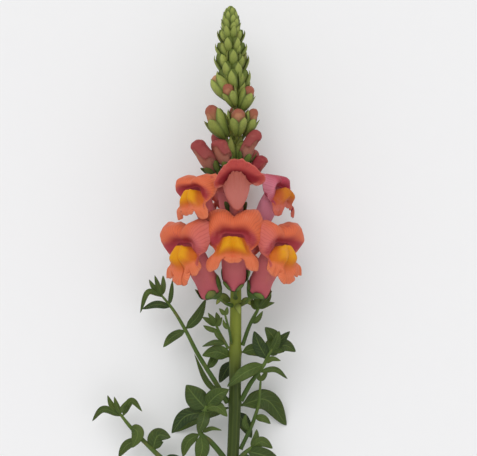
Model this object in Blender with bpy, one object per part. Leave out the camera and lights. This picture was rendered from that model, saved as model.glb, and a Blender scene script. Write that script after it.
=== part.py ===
"""Cut snapdragon stem lying down, photographed side up, tip towards +Y."""
import math

import bpy
import numpy as np

for old in list(bpy.data.objects):
    bpy.data.objects.remove(old, do_unlink=True)

# Layout unit: the stem is laid out on a sheet with x to the right and y towards the cut end.
UNIT = 0.64            # millimetres for one layout unit
MID_X = 194.52         # layout x that becomes X = 0
MID_Y = 309.27         # layout y that becomes Y = 0
GAP = 0.35             # air left between two pieces that touch, millimetres
FLOOR_Z = 0.0

# Main stem: layout x, layout y, height in millimetres, radius in millimetres.
STEM = [
    (229.5, 612, 3.93, 4.1),
    (229.0, 545, 12.6, 4.0),
    (233.0, 456, 20.5, 3.9),
    (234.8, 404, 24.4, 3.9),
    (235.2, 353, 28.2, 3.9),
    (235.8, 300, 31.6, 3.6),
    (236.0, 240, 34.0, 3.0),
    (235.6, 180, 35.4, 2.4),
    (235.4, 143, 36.0, 2.0),
    (235.8, 104, 36.4, 1.7),
]

# Snapdragon flower, in millimetres from the stem axis: outward, upward, sideways.
# Tube rings: outward, upward, half width, half depth, lean of the axis in degrees.
TUBE = [
    (12.6, 1.0, 3.0, 3.0, 60.0),
    (16.6, 5.6, 7.0, 7.0, 56.0),
    (21.0, 14.5, 8.0, 7.4, 62.0),
    (25.4, 24.0, 8.6, 7.0, 62.0),
]
TUBE_FOOT = (11.2, -1.0)
LIP_ANGLES = [0, 27, 55, 80, 98, 115, 145, 168, 180]
# For each angle round the mouth, from the middle of the lower lip up to the notch of the upper.
OPEN_LIPS = {
    "neck": [(33.5, 23, 0), (33, 24, 4.5), (31.5, 26.5, 8), (30, 29, 10), (28.5, 31.5, 10.3),
             (26, 33.5, 10), (22.5, 33.5, 7), (21, 33.5, 2.5), (20.8, 33.5, 0)],
    "back": [(39.3, 19.5, 0), (38.8, 22, 6), (36, 20, 12), (33.6, 25.5, 14.5), (31.3, 32, 12),
             (27.2, 37.5, 13.5), (23.8, 42, 10), (23.4, 42, 4.5), (23.6, 41, 0)],
    "edge": [(41.5, 15.5, 0), (41.2, 19, 7), (38, 12.5, 15.5), (35.5, 22, 18), (33.5, 33, 13.5),
             (28.5, 42, 16), (24.5, 50.5, 11.5), (25.2, 49.8, 5), (26, 46.8, 0)],
    "front": [(43.5, 21, 0), (43.2, 23.5, 6.5), (40, 21, 13), (37.5, 26.5, 15), (35.2, 33.4, 12.2),
              (30.8, 39.5, 13.8), (28.5, 44, 9.5), (29, 43.5, 3.5), (29, 42.5, 0)],
    "crest": [(42.6, 30, 0), (43.8, 30.5, 5), (41.4, 29.8, 9.8), (38.4, 31, 11.5), (36, 34, 10.8),
              (33, 36.8, 11), (32.2, 38.8, 7), (32.4, 39, 2.5), (32.3, 39, 0)],
    "throat": [(37.8, 35.4, 0), (38, 35.6, 3.5), (37, 35.2, 6.5), (35.6, 35, 8.5), (35, 35.2, 8.8),
               (34.4, 36, 7.6), (34.3, 36.9, 5), (34.5, 37, 1.8), (34.5, 37, 0)],
}
MOUTH = (35.8, 36.2)
# The half-open flower: the upper lip still roofs the mouth and the lower lip is tucked in.
HALF_LIPS = {
    "neck": [(32.5, 24, 0), (32, 25, 4.5), (31, 27, 8), (30, 29.5, 10.5), (28.5, 31.5, 11.5),
             (26, 34, 11.5), (23, 36.5, 8.5), (21.8, 37.5, 3), (21.6, 37.6, 0)],
    "back": [(35.6, 24.5, 0), (35.4, 25.5, 4.6), (34, 25.5, 9), (32.8, 28, 12.8), (31, 31, 15.5),
             (28.5, 36, 16), (26.4, 43, 11), (25.4, 46.2, 4), (25.2, 46.6, 0)],
    "edge": [(37.5, 23, 0), (37.2, 24, 5), (36, 22.8, 10), (34.8, 26, 15), (34, 29, 20),
             (32.5, 35.5, 19), (31, 43.5, 12), (30.5, 47.6, 5), (30.2, 48, 0)],
    "front": [(38.6, 26.5, 0), (38.4, 27, 5), (37.2, 26.8, 9.6), (36, 29, 13.5), (35.4, 31.5, 16.6),
              (34.2, 36.2, 15.8), (33.8, 42, 9.5), (34, 44.5, 3.5), (34, 44.6, 0)],
    "crest": [(39, 31, 0), (39.2, 31.2, 4.2), (38.2, 31, 8), (37.4, 32, 10.5), (36.6, 33.6, 12),
              (35.8, 36.4, 11), (35.8, 39.5, 6.6), (36, 40.5, 2.4), (36, 40.6, 0)],
    "throat": [(38, 35, 0), (38, 35, 3), (37.6, 34.8, 5.6), (37.2, 34.8, 7), (36.8, 35.2, 7.4),
               (36.6, 36.2, 6.6), (36.6, 37.2, 4.4), (36.8, 37.4, 1.6), (36.8, 37.4, 0)],
}
LIP_ROWS = ["neck", "back", "edge_back", "edge_front", "front", "crest", "throat"]
EDGE_HALF = 0.55
PETAL_COLUMNS = [0, 14, 27, 41, 55, 68, 82, 98, 114, 130, 147, 165, 180]

# Flowers: name, layout y of the foot, turn round the stem (0 faces up, positive to the right),
# lean outwards, swing sideways, size, extra stalk in millimetres, lips, floor contact.
FLOWERS = [
    ("lower_left", 294.5, -46, 5, 8, 0.98, 4, OPEN_LIPS, False),
    ("lower_front", 287, -3, 0, 0, 0.96, 0, OPEN_LIPS, False),
    ("lower_right", 294.5, 47, 3, -5, 0.96, 1.5, OPEN_LIPS, False),
    ("lower_back", 285, 168, 0, 0, 0.8, 0, OPEN_LIPS, True),
    ("middle_left", 235, -43, 3, 4, 0.84, 4.4, OPEN_LIPS, False),
    ("middle_right", 234, 62, 0, -6, 0.8, 0, OPEN_LIPS, False),
    ("middle_back", 232, -166, 0, 0, 0.8, 0, OPEN_LIPS, True),
    ("half_open", 215, 1, 9, 0, 0.77, 3.5, HALF_LIPS, False),
]

# Pink buds: stalk foot on the stem, then points along the bud with radii in millimetres.
PINK_BUDS = [
    ("left", (232, 186, 36), [(216, 174, 42), (210, 166, 44), (204, 155, 46), (199, 146, 47),
                              (196, 140, 47)], [2.6, 3.9, 4.8, 5.2, 4.0]),
    ("front", (234.5, 176, 37.5), [(228, 166, 42.5), (224, 159, 44.5), (220, 151, 46),
                                   (218, 144, 46.5), (217, 139.5, 46.5)], [2.6, 4.0, 5.0, 5.4, 4.0]),
    ("right_high", (238, 171, 36), [(243, 161, 40.5), (246.5, 152, 42.5), (251, 143, 44),
                                    (256.5, 136, 45), (262, 133, 45)], [2.4, 3.6, 4.4, 5.0, 3.4]),
    ("right_low", (239.5, 188, 34.5), [(247, 181, 37.5), (253, 175, 38.8), (258, 167, 40),
                                       (261, 160, 40.5), (262, 156, 40.5)], [2.4, 3.4, 4.0, 4.3, 3.2]),
    ("back_left", (232.5, 168, 33.5), [(226, 159, 27), (223, 151, 24), (220, 142, 21.5),
                                       (218.5, 134, 20.5), (218, 130, 20.5)], [2.4, 3.7, 4.6, 4.9, 3.6]),
    ("back_right", (238, 186, 33), [(244.5, 177, 26.5), (248, 169, 23.5), (250.5, 160, 21),
                                    (251.5, 152, 20), (251.5, 148, 20)], [2.4, 3.8, 4.7, 5.0, 3.6]),
]

# Green buds: stalk foot, points along the bud, radii.
GREEN_BUDS = [
    ("left_low", (233, 147, 37), [(224, 137, 42), (220, 130, 43.6), (216, 121, 44.6), (212, 113, 45),
                                  (209, 106, 45)], [1.8, 4.4, 5.6, 5.0, 3.0]),
    ("front_low", (236, 143, 38.5), [(237, 136, 45), (237.6, 131, 47), (238, 123, 48.4),
                                     (238, 115, 48.6), (237.6, 109, 48)], [1.8, 3.8, 5.0, 4.6, 3.0]),
    ("right_low", (239, 141, 37), [(246, 135, 40), (249, 129, 41), (251.5, 121, 41.8),
                                   (253, 114, 42.4), (254, 109, 42.6)], [1.5, 3.2, 4.2, 4.0, 2.6]),
    ("back_low", (236, 140, 34), [(236, 133, 26), (236, 127, 23), (236, 118, 21), (236, 110, 20.2),
                                  (236, 104, 20.2)], [1.8, 4.0, 5.4, 5.0, 3.0]),
    ("left_high", (233, 118, 37), [(225, 109, 41), (221.6, 103, 42), (219.4, 94, 42.6),
                                   (218.4, 85, 42.6), (218.6, 78, 42.2)], [1.6, 3.8, 5.0, 4.8, 2.8]),
    ("right_high", (239, 116, 36.6), [(246, 108, 38.8), (248, 101, 39.2), (248.2, 92, 39.6),
                                      (247.4, 83, 40), (246, 75, 40)], [1.6, 3.6, 4.6, 4.6, 2.8]),
    ("front_high", (235.6, 117, 38.2), [(234.6, 107, 45.2), (234, 101, 46.8), (233.6, 92, 47.8),
                                        (233.4, 83, 48), (233.6, 76, 47.4)], [1.4, 3.4, 4.4, 4.2, 2.6]),
    ("back_high", (236, 118, 35), [(236.4, 108, 29.6), (236.6, 101, 27.6), (237, 92, 26.6),
                                   (237, 83, 26.6), (237, 76, 27)], [1.6, 3.6, 4.8, 4.6, 2.8]),
]

# Spike tip: axis points, then place along it and radius; TIP_ROWS rings of small scales.
TIP_AXIS = [(235.6, 102.9, 36.5), (234, 85, 37.4), (231.8, 62, 38), (231, 35, 38.4), (230.5, 6.5, 38.8)]
TIP_RADII = [(0.0, 1.7), (0.08, 2.8), (0.2, 4.4), (0.32, 5.8), (0.42, 8.4), (0.52, 9.0), (0.64, 8.6),
             (0.76, 7.4), (0.85, 5.4), (0.94, 3.4), (1.0, 1.2)]
TIP_ROWS = 17
TIP_COLUMNS = 15

# Leaves: base, middle and tip as layout x, layout y, height; then full width in millimetres
# and roll in degrees about the leaf's own length.
LEAVES = [
    ("upper_left", (229.4, 357.5, 27.4), (216, 352, 32.5), (202, 356, 31), 8.4, 12),
    ("upper_right", (241.6, 353, 28), (256, 350, 29), (271, 361, 26.5), 7.4, -10),
    ("upper_back", (233, 361, 24), (226, 372, 16), (219, 386, 10), 8.0, 20),
    ("middle_right", (241, 407, 24), (264, 402, 14.5), (288, 431, 0.05), 12.0, 0),
    ("middle_left_narrow", (229.6, 401, 22), (210, 388, 17), (193.5, 356, 15), 3.6, 10),
    ("middle_left_floor", (228.4, 410, 21), (204, 416, 11), (173, 438, 0.05), 8.5, 0),
    ("middle_back", (236, 413, 19.6), (243, 424, 12), (252, 443, 6), 8.0, -15),
    ("lower_left", (227.2, 476, 20), (206, 479, 22), (179, 503, 19), 8.6, 8),
    ("lower_right", (238, 482, 18), (258, 486, 17), (278, 514, 9), 9.4, -8),
    ("base_right", (235.6, 528, 13.8), (250, 536, 14), (262, 563, 8), 7.6, -5),
    ("base_left", (223, 566, 10.4), (209, 574, 10.5), (196, 596, 6), 6.8, 5),
]

# Side shoots: stem points with radii in millimetres, then small leaves like LEAVES.
SHOOTS = [
    ("left_long",
     [(227.2, 404, 24.6, 1.7), (217, 386, 28, 1.6), (197, 354, 27, 1.4), (185, 331, 25, 1.2),
      (172, 310, 23, 1.0), (160.6, 296, 21, 0.7)],
     [((161.5, 298, 21), (149, 292, 25), (139, 314, 22), 3.4, 0),
      ((170, 308, 22.6), (156, 305, 25), (141, 310, 23), 4.4, 0),
      ((168.5, 306, 22), (171, 292, 26), (172, 280, 27), 2.8, 0),
      ((185, 330, 25), (197, 318, 28.6), (206, 299, 30), 5.8, 10),
      ((185.5, 331, 24.5), (172, 338, 22.4), (162, 349, 18), 5.2, 0),
      ((162, 297, 21), (153, 288, 23), (148, 280, 23), 3.4, 0),
      ((161, 297, 21), (157, 285, 25.5), (154, 275.5, 26), 3.2, 0),
      ((161, 296.6, 21), (162.5, 286, 20), (162, 276, 18.5), 3.2, 0),
      ((207, 370, 27.4), (214, 360, 24), (216, 347, 20), 5.0, 0)]),
    ("left_small",
     [(228.2, 349, 31.4, 1.0), (225, 343, 32, 1.0), (218.5, 331, 33, 0.9), (216, 325.3, 33, 0.7)],
     [((225.6, 344.4, 32), (215, 342.6, 35.5), (202, 346.5, 36.4), 3.4, 0),
      ((216.4, 326.4, 33), (209, 321, 35), (202, 317, 35), 3.4, 0),
      ((216.4, 326, 33), (211, 317, 38), (208, 312.5, 39), 3.2, 0),
      ((216.4, 326, 33), (217.6, 319, 31.4), (216, 312.5, 30.5), 3.4, 0),
      ((216.6, 326.6, 33), (220, 321, 36.6), (222, 317, 37), 3.0, 0),
      ((219, 332, 33), (209, 329, 33), (203, 326, 30), 3.0, 0),
      ((224, 341.5, 32), (218, 336, 35.4), (213, 327, 38), 2.6, 0)]),
    ("left_twig",
     [(231.4, 343.5, 33.2, 0.8), (229.6, 332, 37.4, 0.8), (226, 318, 39, 0.7), (225, 314, 39, 0.6)],
     [((225, 315, 39), (222, 311, 41), (219, 308, 41.4), 2.6, 0),
      ((225, 315, 39), (226.8, 310.4, 41.6), (227.4, 306, 42), 2.6, 0),
      ((229, 329, 37.8), (225, 325, 40), (223, 319, 40.6), 2.4, 0)]),
    ("right_upper",
     [(242.6, 346, 29, 1.3), (250, 325, 30.4, 1.2), (257.4, 311, 31, 1.0), (259, 308, 31, 0.8)],
     [((258.4, 309, 31), (257, 301, 30.4), (255.6, 293, 28.6), 3.8, 0),
      ((258.8, 309, 31), (262, 299, 29.4), (262, 290, 26.6), 3.8, 0),
      ((259, 309, 31), (267, 299, 30.4), (271, 289, 29.6), 4.6, 0),
      ((259, 309.4, 31), (267, 305, 30), (275, 303, 28.4), 2.8, 0),
      ((258, 310, 31), (254, 306, 29), (252, 299, 27), 3.2, 0),
      ((251, 323.4, 30.4), (257, 320, 33), (263, 311, 34.4), 3.2, 0)]),
    ("right_middle",
     [(241.2, 402, 25.4, 1.6), (251.4, 383, 28, 1.5), (258, 374, 29, 1.3), (264.8, 364, 30, 1.2),
      (268.7, 355.5, 31, 1.1), (272.6, 349, 32, 0.9)],
     [((264, 365, 30), (246, 372, 34.6), (227, 387, 33.6), 7.8, 0),
      ((265, 364, 30), (272, 359, 33), (281, 361, 33.4), 3.2, 0),
      ((259, 373, 29), (275, 370, 31.4), (288, 380, 28), 3.4, 0),
      ((270, 354, 31.2), (274, 339, 35), (265, 327, 36), 6.2, 0),
      ((271.7, 351, 31.8), (281, 340, 36), (290, 331, 38), 5.4, 0),
      ((272.4, 349.9, 32.3), (277, 339, 40), (279, 330, 43), 4.0, 0),
      ((270.9, 352.7, 31.4), (285, 345.4, 34.6), (296, 352, 33), 6.0, 0),
      ((267, 359, 30.6), (259, 345, 34), (254, 331, 35.6), 4.6, 0),
      ((269, 355.6, 31), (275, 352, 27), (283, 343, 24), 4.6, 0)]),
    ("right_lower",
     [(240.6, 452, 20.2, 1.4), (254.5, 421, 20.4, 1.2), (259, 405, 22, 1.0), (260, 394, 24, 0.9),
      (261, 380, 24, 0.6)],
     [((255, 420, 20.4), (263, 420, 23.4), (271, 426, 22), 4.4, 0),
      ((260.6, 383, 24), (264.5, 377, 25), (268, 371, 25), 3.0, 0),
      ((260.6, 383, 24), (258, 376, 25), (255.4, 369, 24), 3.0, 0),
      ((249, 433.5, 20.3), (245, 425, 24), (246, 415, 26.4), 3.6, 0)]),
    ("right_leafy",
     [(238.6, 462, 22.4, 1.7), (245, 455, 24.4, 1.5), (252, 449, 25.6, 0.9)],
     [((251, 450, 25.4), (262, 443, 28), (273, 450, 27), 6.2, 0),
      ((247, 453, 25), (262, 456, 28), (281, 464, 25), 9.0, 0),
      ((251, 449.6, 25.4), (256, 440, 25), (257, 431, 23.4), 4.0, 0),
      ((245, 455, 24.4), (250, 466, 23), (261, 478, 20), 6.0, 0)]),
    ("left_cluster",
     [(227, 464, 21.8, 1.9), (209.3, 442.6, 25, 1.7), (199.8, 434, 28, 1.5), (203, 418, 31, 1.4),
      (206, 406, 32, 1.1)],
     [((205.6, 409, 32), (195, 397, 34), (186, 385, 35), 12.5, 0),
      ((204.6, 413, 31.4), (187, 416, 31), (171, 435, 26), 8.4, 0),
      ((205, 411, 32), (203, 421, 36), (198, 433.5, 34.6), 7.2, 0),
      ((206, 409, 32), (216, 406.5, 34), (227.5, 417, 33), 6.6, 0),
      ((206.6, 406, 32), (217, 395, 36.6), (229, 389, 38), 7.4, 0),
      ((201, 434, 28), (212, 429, 31.4), (222, 431, 32), 2.6, 0),
      ((200.6, 436, 27.6), (202, 450, 27), (197, 465, 23), 8.6, 0),
      ((199.6, 435, 27.6), (188, 443, 24), (182, 460, 19), 6.2, 0)]),
    ("bottom_left",
     [(224.4, 538, 13.6, 1.9), (190, 492, 13, 1.9), (152, 454.4, 14, 1.6), (138.7, 441, 15, 1.4),
      (127, 428, 16, 1.2), (117, 415, 17, 0.8)],
     [((117.9, 416.3, 16.8), (110, 407, 20.6), (106, 397, 22), 3.6, 0),
      ((119.2, 417.4, 17.1), (115, 406, 22.6), (113, 398, 24), 3.2, 0),
      ((119.9, 419.2, 16.6), (101, 411.5, 20.6), (90, 424, 18), 4.2, 0),
      ((120.6, 419.5, 16.9), (131, 403, 21), (141, 414, 19.4), 4.2, 0),
      ((118.5, 416.2, 17.2), (123, 407, 24), (127, 401, 26), 3.0, 0),
      ((128.6, 430, 15.8), (136, 434, 19.6), (131, 451, 18), 7.4, 0),
      ((151, 454, 14), (158, 438, 18), (170, 440, 20), 9.6, 0),
      ((140, 442.6, 15), (126, 448, 14), (116, 462, 10), 5.6, 0),
      ((161.3, 462.6, 14.3), (176, 466, 17), (188, 480, 17), 8.0, 0),
      ((170, 472, 13.6), (158, 484, 12), (154, 504, 7), 7.6, 0)]),
]

# Bracts: the small leaves of the spike, grown on the stem below a flower or bud.
BRACTS = [
    ((231, 303, 29.5), (222, 297, 29.8), (216, 305, 29), 4.4),
    ((240, 305, 29.4), (247, 301, 28.6), (252, 306, 26.5), 4.0),
    ((236, 304, 34.2), (238, 307, 38), (240, 314, 39.4), 4.0),
    ((233, 244, 34.6), (226, 242, 36.6), (222, 249, 37.4), 3.4),
    ((238.4, 246, 33), (244.6, 245, 32.6), (249, 251, 31), 3.2),
]

SEPAL_COUNT = 5
SEPAL_THICK = 0.8
SEPAL_GAP = 0.75
STALK_RADIUS = 1.15
LEAF_THICK = 0.9

COLOURS = {
    "petals": (0.74, 0.17, 0.07, 1.0),
    "bud": (0.42, 0.07, 0.08, 1.0),
    "green": (0.16, 0.24, 0.04, 1.0),
    "leaf": (0.06, 0.13, 0.02, 1.0),
    "stem": (0.12, 0.14, 0.03, 1.0),
}


def at(x, y, z):
    """Layout x, y and height to millimetres."""
    return np.array([(x - MID_X) * UNIT, (MID_Y - y) * UNIT, z], float)


def hermite(x, xs, ys):
    """Smooth curve through a table of values."""
    xs = np.asarray(xs, float)
    ys = np.asarray(ys, float)
    if ys.ndim == 1:
        ys = ys[:, None]
    slopes = np.gradient(ys, xs, axis=0)
    i = int(np.clip(np.searchsorted(xs, x) - 1, 0, len(xs) - 2))
    h = xs[i + 1] - xs[i]
    t = (x - xs[i]) / h
    a = (1 + 2 * t) * (1 - t) ** 2
    b = t * (1 - t) ** 2
    c = t * t * (3 - 2 * t)
    d = t * t * (t - 1)
    return a * ys[i] + b * h * slopes[i] + c * ys[i + 1] + d * h * slopes[i + 1]


def along(points, n):
    """Points evenly spaced on a smooth curve through the given points (any number of columns)."""
    pts = np.asarray(points, float)
    steps = np.linalg.norm(np.diff(pts[:, :3], axis=0), axis=1)
    s = np.concatenate([[0], np.cumsum(steps)])
    return np.array([hermite(x, s, pts) for x in np.linspace(0, s[-1], n)])


def unit(v):
    return v / max(np.linalg.norm(v), 1e-9)


STEM_MM = np.array([list(at(x, y, z)) + [r] for x, y, z, r in STEM])
STEM_LINE = along(STEM_MM, 120)


def stem_at(y_layout):
    """Axis point, direction and radius of the main stem at a layout y."""
    y = (MID_Y - y_layout) * UNIT
    i = int(np.clip(np.argmin(abs(STEM_LINE[:, 1] - y)), 1, len(STEM_LINE) - 2))
    axis = unit(STEM_LINE[i + 1, :3] - STEM_LINE[i - 1, :3])
    p = STEM_LINE[i, :3] + axis * (y - STEM_LINE[i, 1]) / axis[1]
    return p, axis, STEM_LINE[i, 3]


def clear_stem(points, gap):
    """Push points that lie closer to the stem than the gap straight out from its axis."""
    out = []
    a = STEM_LINE[:-1, :3]
    b = STEM_LINE[1:, :3]
    ab = b - a
    for p in points:
        t = np.clip(((p - a) * ab).sum(1) / (ab * ab).sum(1), 0, 1)
        q = a + ab * t[:, None]
        d = np.linalg.norm(p - q, axis=1)
        i = int(np.argmin(d))
        need = STEM_LINE[i, 3] + gap
        if d[i] < need:
            p = q[i] + unit(p - q[i]) * need
        out.append(p)
    return np.array(out)


def material(name, colour):
    mat = bpy.data.materials.new(name)
    mat.use_nodes = True
    shader = mat.node_tree.nodes["Principled BSDF"]
    shader.inputs["Base Color"].default_value = COLOURS[colour]
    shader.inputs["Roughness"].default_value = 0.6
    return mat


def skin(name, rings, first, last, colour):
    """One closed body: rings of equal count with a point closing each end."""
    n = len(rings[0])
    verts = [first]
    for ring in rings:
        verts.extend(ring)
    verts.append(last)
    verts = np.array(verts)
    faces = []
    for j in range(n):
        faces.append((0, 1 + (j + 1) % n, 1 + j))
    for k in range(len(rings) - 1):
        a = 1 + k * n
        b = a + n
        for j in range(n):
            m = (j + 1) % n
            faces.append((a + j, a + m, b + m))
            faces.append((a + j, b + m, b + j))
    a = 1 + (len(rings) - 1) * n
    for j in range(n):
        faces.append((a + j, a + (j + 1) % n, len(verts) - 1))
    tri = verts[np.array(faces)]
    volume = np.einsum("ij,ij->i", tri[:, 0], np.cross(tri[:, 1], tri[:, 2])).sum()
    if volume < 0:
        faces = [f[::-1] for f in faces]
    mesh = bpy.data.meshes.new(name)
    mesh.from_pydata([tuple(v * 0.001) for v in verts], [], faces)
    mesh.update()
    for polygon in mesh.polygons:
        polygon.use_smooth = True
    obj = bpy.data.objects.new(name, mesh)
    bpy.context.collection.objects.link(obj)
    mesh.materials.append(material(name, colour))
    return obj


def frames(line):
    """Two side directions that travel along a line without twisting."""
    tangents = [unit(line[min(i + 1, len(line) - 1)] - line[max(i - 1, 0)]) for i in range(len(line))]
    side = unit(np.cross(tangents[0], [0.3, 0.2, 1.0]))
    sides = []
    for t in tangents:
        side = unit(side - t * side.dot(t))
        sides.append((t, side, np.cross(t, side)))
    return sides


def round_rings(line, radii, n):
    """Round cross sections along a line."""
    rings = []
    for p, r, (_, u, v) in zip(line, radii, frames(line)):
        ring = []
        for j in range(n):
            a = 2 * math.pi * j / n
            ring.append(p + r * (u * math.cos(a) + v * math.sin(a)))
        rings.append(np.array(ring))
    return rings


def lip_point(lips, row, angle):
    """A point of the lips at an angle round the mouth."""
    shift = 0.0
    if row == "edge_back":
        row, shift = "edge", -EDGE_HALF
    if row == "edge_front":
        row, shift = "edge", EDGE_HALF
    a, b, c = hermite(abs(angle), LIP_ANGLES, lips[row])
    if angle < 0:
        c = -c
    if abs(angle) in (0, 180):
        c = 0.0
    return np.array([a + shift, b + 0.25 * shift, c])


def tube_point(k, angle, grow=0.0):
    """A point of the tube at ring number k (may lie between rings), grown outwards a little."""
    i = int(min(k, len(TUBE) - 2))
    f = k - i
    a, b, wide, deep, lean = (1 - f) * np.array(TUBE[i]) + f * np.array(TUBE[i + 1])
    t = math.radians(lean)
    w = math.radians(angle)
    up = np.array([-math.sin(t), math.cos(t), 0])
    side = np.array([0, 0, 1.0])
    return np.array([a, b, 0]) + side * math.sin(w) * (wide + grow) - up * math.cos(w) * (deep + grow)


def flower_place(y_layout, turn, lean, swing, size, stalk):
    """Function that puts a flower point (outward, upward, sideways) on the stem."""
    foot, axis, _ = stem_at(y_layout)
    t = math.radians(turn)
    outward = np.array([math.sin(t), 0, math.cos(t)])
    outward = unit(outward - axis * outward.dot(axis))
    side = np.cross(axis, outward)
    g = math.radians(lean)
    w = math.radians(swing)
    pivot = np.array([TUBE_FOOT[0], 0.0])

    def place(point):
        a, b = point[0] - pivot[0], point[1] - pivot[1]
        a, b = a * math.cos(g) + b * math.sin(g), b * math.cos(g) - a * math.sin(g)
        b, c = b * math.cos(w) + point[2] * math.sin(w), point[2] * math.cos(w) - b * math.sin(w)
        reach = pivot[0] + stalk + size * a
        return foot + outward * reach + axis * size * b + side * size * c
    return place


def corolla_points(lips, place):
    columns = PETAL_COLUMNS + [-a for a in PETAL_COLUMNS[-2:0:-1]]
    rings = [[place(tube_point(k, a)) for a in columns] for k in range(len(TUBE))]
    rings += [[place(lip_point(lips, row, a)) for a in columns] for row in LIP_ROWS]
    first = place(np.array([TUBE_FOOT[0], TUBE_FOOT[1], 0]))
    last = place(np.array([MOUTH[0], MOUTH[1], 0]))
    return rings, first, last


def sepal_reach(angle, low, high):
    """How far up the tube the calyx reaches at an angle: five pointed sepals."""
    wave = abs(math.cos(math.radians(angle) * SEPAL_COUNT / 2))
    return low + (high - low) * wave ** 1.3


def calyx(name, y_layout, place, size):
    """Stalk and five-pointed cup round the foot of a flower, all one closed piece."""
    n = SEPAL_COUNT * 2
    angles = [360 * j / n for j in range(n)]
    foot = place(np.array([TUBE_FOOT[0], TUBE_FOOT[1], 0]))
    below = foot + unit(foot - place(np.array([16.6, 5.6, 0]))) * 1.6
    start_axis, axis, radius = stem_at(y_layout + 11 * size)
    out = unit(below - start_axis - axis * (below - start_axis).dot(axis))
    start = start_axis + out * (radius + GAP)
    middle = (start + below) / 2 - axis * 1.0
    line = along([start, middle, below], 4)
    rings = []
    lean = [place(tube_point(0, a)) - place(np.array([12.6, 1.0, 0])) for a in angles]
    for i, p in enumerate(line):
        grow = (1.2, 0.8, 0.9, 1.25)[i] * STALK_RADIUS
        rings.append(np.array([p + unit(v) * grow for v in lean]))
    rings[0] = clear_stem(rings[0], GAP)
    outer = []
    inner = []
    for f in (0.0, 0.5, 1.0):
        ring_out = []
        ring_in = []
        for a in angles:
            k = sepal_reach(a, 1.12, 1.8) if f == 1.0 else 2 * f
            thick = SEPAL_THICK * (1.0 - 0.45 * f)
            ring_in.append(place(tube_point(k, a, SEPAL_GAP / size)))
            ring_out.append(place(tube_point(k, a, (SEPAL_GAP + thick) / size)))
        outer.append(np.array(ring_out))
        inner.append(np.array(ring_in))
    rings += outer + inner[::-1]
    last = foot + unit(foot - place(np.array([16.6, 5.6, 0]))) * 0.5
    first = clear_stem([start], GAP)[0]
    skin(name, rings, first, last, "green")


def bud(name, stalk_foot, points, radii, columns=10):
    """A closed pink bud and the green calyx and stalk that hold it."""
    line = along([list(at(*p)) + [r] for p, r in zip(points, radii)], 7)
    pts, rad = line[:, :3], line[:, 3]
    rings = round_rings(pts, rad, columns)
    first = pts[0] - unit(pts[1] - pts[0]) * 0.9
    last = pts[-1] + unit(pts[-1] - pts[-2]) * rad[-1] * 0.45
    skin("pink_bud_" + name, rings, first, last, "bud")
    start = at(*stalk_foot)
    below = first - unit(pts[1] - pts[0]) * 1.1
    stalk = along([start, (start + below) / 2 - np.array([0, 1.2, 0]), below], 3)
    widths = [STALK_RADIUS * 1.1, STALK_RADIUS * 0.8, STALK_RADIUS * 1.1]
    cup = round_rings(np.vstack([stalk, pts]), widths + list(rad), columns)
    cup[0] = clear_stem(cup[0], GAP)
    n = len(stalk)
    outer = []
    inner = []
    for f in (0.0, 0.55, 1.0):
        ring_out = []
        ring_in = []
        for j in range(columns):
            k = f * (0.9 + 1.2 * (j % 2 == 0))
            i = int(k)
            q = k - i
            centre = (1 - q) * pts[i] + q * pts[i + 1]
            p = (1 - q) * rings[i][j] + q * rings[i + 1][j]
            ring_in.append(p + unit(p - centre) * 0.5)
            ring_out.append(p + unit(p - centre) * (0.5 + SEPAL_THICK * (1 - 0.45 * f)))
        outer.append(np.array(ring_out))
        inner.append(np.array(ring_in))
    end = first - unit(pts[1] - pts[0]) * 0.45
    body = list(cup[:n]) + outer + inner[::-1]
    head = clear_stem([start], GAP)[0]
    skin("bud_calyx_" + name, body, head, end, "green")


def green_bud(name, stalk_foot, points, radii, columns=9):
    """A small bud still shut in its sepals, with its stalk, one closed piece."""
    line = along([list(at(*p)) + [r] for p, r in zip(points, radii)], 6)
    start = at(*stalk_foot)
    stalk = np.array([start, (start + line[0, :3]) / 2 - np.array([0, 0.8, 0])])
    pts = np.vstack([stalk, line[:, :3]])
    rad = [1.0, 0.8] + list(line[:, 3])
    rings = round_rings(pts, rad, columns)
    rings[0] = clear_stem(rings[0], GAP)
    first = clear_stem([start], GAP)[0]
    last = pts[-1] + unit(pts[-1] - pts[-2]) * rad[-1] * 0.6
    skin("green_bud_" + name, rings, first, last, "green")


def leaf_body(name, base, middle, tip, width, roll, colour="leaf", sections=6, press=True):
    """A lance-shaped leaf with a shallow fold along its midrib."""
    line = along([at(*base), at(*middle), at(*tip)], sections + 2)
    rings = []
    for i in range(sections + 1):
        t = i / (sections + 1)
        p = line[i]
        tangent = unit(line[min(i + 1, len(line) - 1)] - line[max(i - 1, 0)])
        side = unit(np.cross(tangent, [0, 0, 1.0]))
        face = np.cross(side, tangent)
        g = math.radians(roll)
        s = side * math.cos(g) + face * math.sin(g)
        f = face * math.cos(g) - side * math.sin(g)
        half = 0.5 * width * max(math.sin(math.pi * (0.1 + 0.9 * t) ** 0.85), 0.24)
        thick = LEAF_THICK / 2
        fold = 0.16 * half
        rings.append(np.array([p + s * half + f * fold, p + f * thick - f * fold * 0.5,
                               p - s * half + f * fold, p - f * (thick + fold * 0.5)]))
    first = line[0] - unit(line[1] - line[0]) * 0.2
    if press:
        rings[0] = clear_stem(rings[0], GAP + 0.1)
        first = clear_stem([first], GAP)[0]
    return skin(name, rings, first, line[-1], colour)


def tube_body(name, points, columns, samples, colour, press=True):
    """A round stem along layout points that carry a radius."""
    line = along([list(at(*p[:3])) + [p[3]] for p in points], samples)
    rings = round_rings(line[:, :3], line[:, 3], columns)
    first = line[0, :3]
    if press:
        rings[0] = clear_stem(rings[0], GAP)
        rings[1] = clear_stem(rings[1], GAP)
        first = clear_stem([first], GAP)[0]
    return skin(name, rings, first, line[-1, :3] + unit(line[-1, :3] - line[-2, :3]) * 0.4, colour)


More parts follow.
